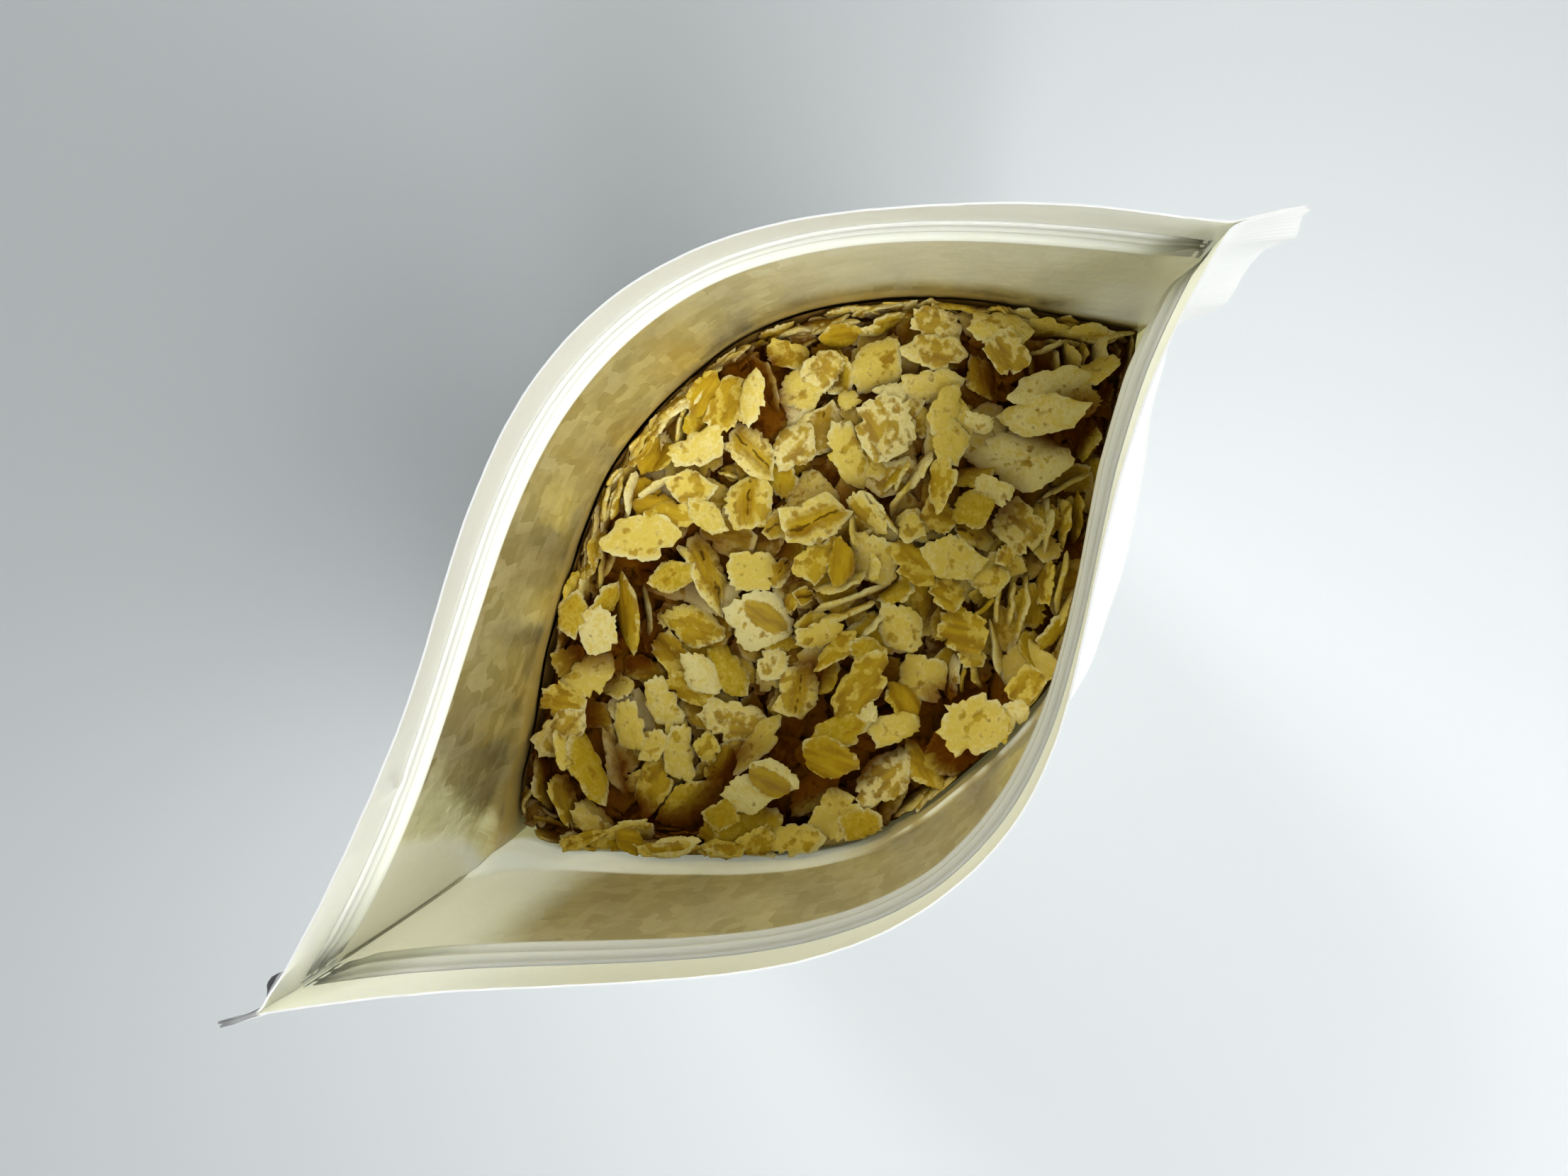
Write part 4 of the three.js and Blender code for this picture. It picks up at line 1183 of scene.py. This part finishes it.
def some_look():
    bran, tone, crease, hull = list(LOOKS.values())[draw.choice(len(LOOKS), p=LOOK_SHARES)]
    return bran + draw.uniform(-0.12, 0.12), tone + draw.uniform(-0.15, 0.15), crease, hull


def lay(shape, pose, spot, points, cells, z, look):
    np.maximum.at(heap_height, cells, points[:, 2] + z)
    shape["copies"].append((pose, (spot[0], spot[1], z), (*look, draw.uniform(0, 1))))


def some_shape():
    return shapes[draw.choice(len(shapes), p=how_common / how_common.sum())]


def toward_middle(spot):
    return (heap_middle - spot) / np.linalg.norm(heap_middle - spot)


def stand(shape, pose, spot, rises, look):
    """Sets a flake on edge among the others, with its upper edge over the heap's top."""
    points = posed(shape, pose)
    cells = cells_under(points, spot)
    if cells is not None:
        z = float(heap_top(*spot)) + rises - points[:, 2].max()
        lay(shape, pose, spot, points, cells, z, look)
    return cells is not None


def settle(shape, pose, spot):
    """Where a flake comes to rest at a spot, sunk a little among those under it."""
    points = posed(shape, pose)
    cells = cells_under(points, spot)
    if cells is None:
        return None
    z = float(np.quantile(heap_height[cells] - points[:, 2], SUNK_SHARE))
    return points, cells, z, (points[:, 2] + z - top_wanted[cells]).max()


PLACES = 24
POSES = 8


def pour(level, highest, most, spread, size=1.0):
    """Lets flakes fall on the lowest of some places until the heap is filled to a level,
    each in the pose of several in which it comes to lie lowest."""
    spots = np.argwhere(free)
    for _ in range(most):
        picks = spots[draw.integers(0, len(spots), PLACES)]
        low = [(top_wanted - heap_height)[i - 3: i + 4, j - 3: j + 4].mean() for i, j in picks]
        i, j = picks[int(np.argmax(low))]
        if max(low) < level:
            return
        shape, best = some_shape(), None
        for _ in range(POSES):
            spot = np.array([grid_x[i], grid_y[j]]) + draw.uniform(-1.2, 1.2, 2)
            stretch = np.array([*(size * draw.uniform(0.8, 1.08, 2)), 1.0])
            pose = (stretch, draw.uniform(0, 2 * math.pi), abs(draw.normal(0, spread)),
                    draw.uniform(0, 2 * math.pi))
            found = settle(shape, pose, spot)
            if found and found[3] < highest and (best is None or found[2] < best[4]):
                best = (pose, spot, *found[:3])
        if best:
            lay(shape, *best, some_look())
        else:
            heap_height[i - 1: i + 2, j - 1: j + 2] += 0.3


pour(level=3.2, highest=-1.6, most=700, spread=0.45)
# On edge along the wall, up to four deep: how far in each ring is, and how full.
for depth, chance in ((0.3, 1.0), (1.4, 0.8), (2.5, 0.6), (3.8, 0.4)):
    ledge = drawn_in(wall_outline(OATS_LEVEL, 44), depth)
    for k, spot in enumerate(ledge):
        if draw.uniform() < chance:
            step = ledge[(k + 1) % len(ledge)] - ledge[k - 1]
            along = math.atan2(step[1], step[0]) + draw.normal(0, 0.1)
            lean = draw.choice([-1, 1]) * draw.uniform(1.15, 1.55)
            pose = (np.array([*draw.uniform(0.6, 0.95, 2), 1]), along, lean, along)
            for inwards in (0.0, 0.2, 0.4, 0.7, 1.0, 1.4):
                inner = spot + inwards * toward_middle(spot)
                if stand(some_shape(), pose, inner, draw.uniform(-2.4, 0.2), some_look()):
                    break
pour(level=2.0, highest=-0.8, most=500, spread=0.6)
# Flakes that lean more than this stand on edge. The others lie, with their highest point
# no further under the heap's top than this.
ON_EDGE = 45
HELD = (-1.5, 0.0)
for k, (right, up, turn, length, width, form, look, lean) in enumerate(TOP_FLAKES):
    alike = [shape for shape in shapes if shape["form"] == form]
    shape = alike[k % len(alike)]
    stretch = np.array([*(np.array([length, width]) / shape["size"]), 1.0])
    along = math.radians(turn + ROLL)
    tilt = math.radians(lean) * draw.choice([-1, 1]) + draw.normal(0, 0.15)
    pose = (stretch, along, tilt, along + (draw.normal(0, 0.05) if lean else draw.uniform(0, 3)))
    spot = np.array(EYE[:2]) + right * RIGHT + up * UP
    bran, tone, crease, hull = LOOKS[look]
    marks = (bran + draw.uniform(-0.06, 0.06), tone + draw.uniform(-0.08, 0.08), crease, hull)
    # A flake that would touch the wall is pushed inwards.
    for _ in range(12):
        if lean > ON_EDGE:
            done = stand(shape, pose, spot, draw.uniform(0.0, 0.8), marks)
        else:
            found = settle(shape, pose, spot)
            done = bool(found)
            if found:
                points, cells, z, _ = found
                held = float(heap_top(*spot)) + draw.uniform(*HELD) - points[:, 2].max()
                lay(shape, pose, spot, points, cells, max(z, held), marks)
        if done:
            break
        spot = spot + 0.5 * toward_middle(spot)
# More, slipped in where the top still has holes, the last of them small.
pour(level=1.5, highest=-0.4, most=400, spread=0.7)
pour(level=1.0, highest=-0.2, most=170, spread=0.9, size=0.62)
# Broken ones have caught on the ledge of the waist.
LEDGE_HEIGHT = 155
CRUMBS = 24
CRUMB_RUNS = (13, 52)
CRUMB_LOOKS = ("golden", "cream", "golden", "brown", "white")
ledge_row = inner_faces[-1][int(np.argmin(np.abs(PANEL_HEIGHTS - LEDGE_HEIGHT)))]
for run in np.sort(draw.uniform(*CRUMB_RUNS, CRUMBS)):
    before, spot, after = (
        np.array([np.interp(run + step, PANEL_RUNS, ledge_row[:, k]) for k in (0, 1)])
        for step in (-1, 0, 1)
    )
    along = math.atan2(*(after - before)[::-1])
    inwards = np.array([-math.sin(along), math.cos(along)])
    along += draw.normal(0, 0.22)
    shape = some_shape()
    look = LOOKS[CRUMB_LOOKS[draw.integers(len(CRUMB_LOOKS))]]
    stretch = np.array([*draw.uniform((0.45, 0.25), (0.95, 0.6)), 1])
    pose = (stretch, along, draw.uniform(-1.2, 0.3), along)
    points = posed(shape, pose)
    spot = spot + inwards * ((points[:, :2] @ inwards).max() + draw.uniform(-0.1, 0.5))
    z = float(heap_top(*spot)) + draw.uniform(0.4, 2.4) - points[:, 2].max()
    for _ in range(6):
        cells = cells_under(points, spot)
        if cells is not None:
            lay(shape, pose, spot, points, cells, z, look)
            break
        spot = spot + 0.3 * inwards

# The heap's top around each cell, out to a few cells and then made even: what lies well
# below it gets little light, so its colour is painted darker as shade. The depths are where
# that painted shade starts, and where all is brown.
SHADE_CELLS = 5
PAINTED_SHADE_DEPTHS = (0.9, 4.6)
top_around = heap_height.copy()
for i in range(-SHADE_CELLS, SHADE_CELLS + 1):
    for j in range(-SHADE_CELLS, SHADE_CELLS + 1):
        if 0 < i * i + j * j <= SHADE_CELLS**2 + 1:
            top_around = np.maximum(top_around, np.roll(heap_height, (i, j), (0, 1)))
for _ in range(3):
    top_around = sum(np.roll(top_around, step, axis) for step in (-2, 0, 2) for axis in (0, 1)) / 6

oat_finish = oat_flake_finish()
for shape in shapes:
    flake, points, out, copies = (shape[key] for key in ("object", "points", "out", "copies"))
    faces = [list(polygon.vertices) for polygon in flake.data.polygons]
    count, number = len(points), len(copies)
    everything = np.concatenate([turned(points, *pose) + place for pose, place, _ in copies])
    joined = bpy.data.meshes.new(flake.name)
    joined.from_pydata(
        (everything * MM).tolist(), [],
        [[v + count * n for v in face] for n in range(number) for face in faces],
    )
    joined.uv_layers.new(name="UVMap")
    old, flake.data = flake.data, joined
    bpy.data.meshes.remove(old)
    joined.name = flake.name
    flat = np.concatenate([points * pose[0] for pose, _, _ in copies])
    set_flat_map(flake, flat[:, 0], flat[:, 1])
    marks = np.repeat([mark for _, _, mark in copies], count, axis=0)
    colours = np.ones((count * number, 4), np.float32)
    colours[:, :3] = marks[:, [0, 1, 4]]
    joined.attributes.new("mark", "FLOAT_COLOR", "POINT").data.foreach_set("color", colours.ravel())
    i, j = nearest_cells(everything)
    i, j = np.clip(i, 0, len(grid_x) - 1), np.clip(j, 0, len(grid_y) - 1)
    depth = top_around[i, j] - everything[:, 2]
    mark_vertices(flake, "rim", np.tile(out, number))
    mark_vertices(flake, "crease", marks[:, 2])
    mark_vertices(flake, "hull", marks[:, 3])
    mark_vertices(flake, "deep", rise(depth, *PAINTED_SHADE_DEPTHS))
    joined.materials.append(oat_finish)
    shade(flake, 65)
    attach(flake, "root")
    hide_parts("oats")


# Floor. A plain pale sheet that the pouch stands on. It isn't part of the pouch, so it
# isn't attached to it.
bpy.ops.mesh.primitive_plane_add(size=4, location=(0, 0, 0))
floor = bpy.context.object
floor.name = "floor"
floor_finish, _, floor_surface = new_finish("pale_floor")
set_inputs(floor_surface, {"Base Color": (0.633, 0.663, 0.67, 1), "Roughness": 0.6})
floor.data.materials.append(floor_finish)


# Light. One large soft panel stands high on the front side of the pouch. Two small ones with
# narrow beams shine into the mouth, from over the back and from the front left. The room's
# ceiling and its pale walls give the rest.
MOUTH_UP = 0.2
# Each panel's place and side in metres, its watts, and its beam in degrees.
for name, (x, y, z), size, watts, beam in (
    ("front_light", (0.19, -0.46, 0.62), 0.8, 6.6, 180),
    ("back_light", (-0.03, 0.42, 0.62), 0.3, 0.10, 24),
    ("low_light", (-0.28, -0.35, 0.70), 0.3, 0.05, 16),
):
    bpy.ops.object.light_add(type="AREA", location=(x, y, z))
    panel = bpy.context.object
    panel.name = name
    panel.data.size = size
    panel.data.energy = watts
    panel.data.spread = math.radians(beam)
    panel.rotation_euler = (math.atan2(math.hypot(x, y), z - MOUTH_UP), 0, math.atan2(x, -y))
CEILING = (-0.12, -0.40, 0.91)
world = bpy.data.worlds.new("room")
world.use_nodes = True
room = world.node_tree
way = shader(room, "TexCoord", {}).outputs["Generated"]
up = shader(room, "SeparateXYZ", {"Vector": way}).outputs["Z"]
toward = shader(room, "VectorMath", {0: way, 1: CEILING}, operation="DOT_PRODUCT").outputs["Value"]
ceiling = ramp(reckon("POWER", larger(toward, 0.0), 7.0), 0, 1, 0.05, 1.6)
walls = times(reckon("POWER", minus(1.0, reckon("ABSOLUTE", up)), 3.0), 0.5)
set_inputs(room.nodes["Background"], {
    "Color": (0.90, 0.95, 0.95, 1), "Strength": plus(ceiling, walls),
})
bpy.context.scene.world = world
bpy.context.scene.view_settings.view_transform = "Standard"
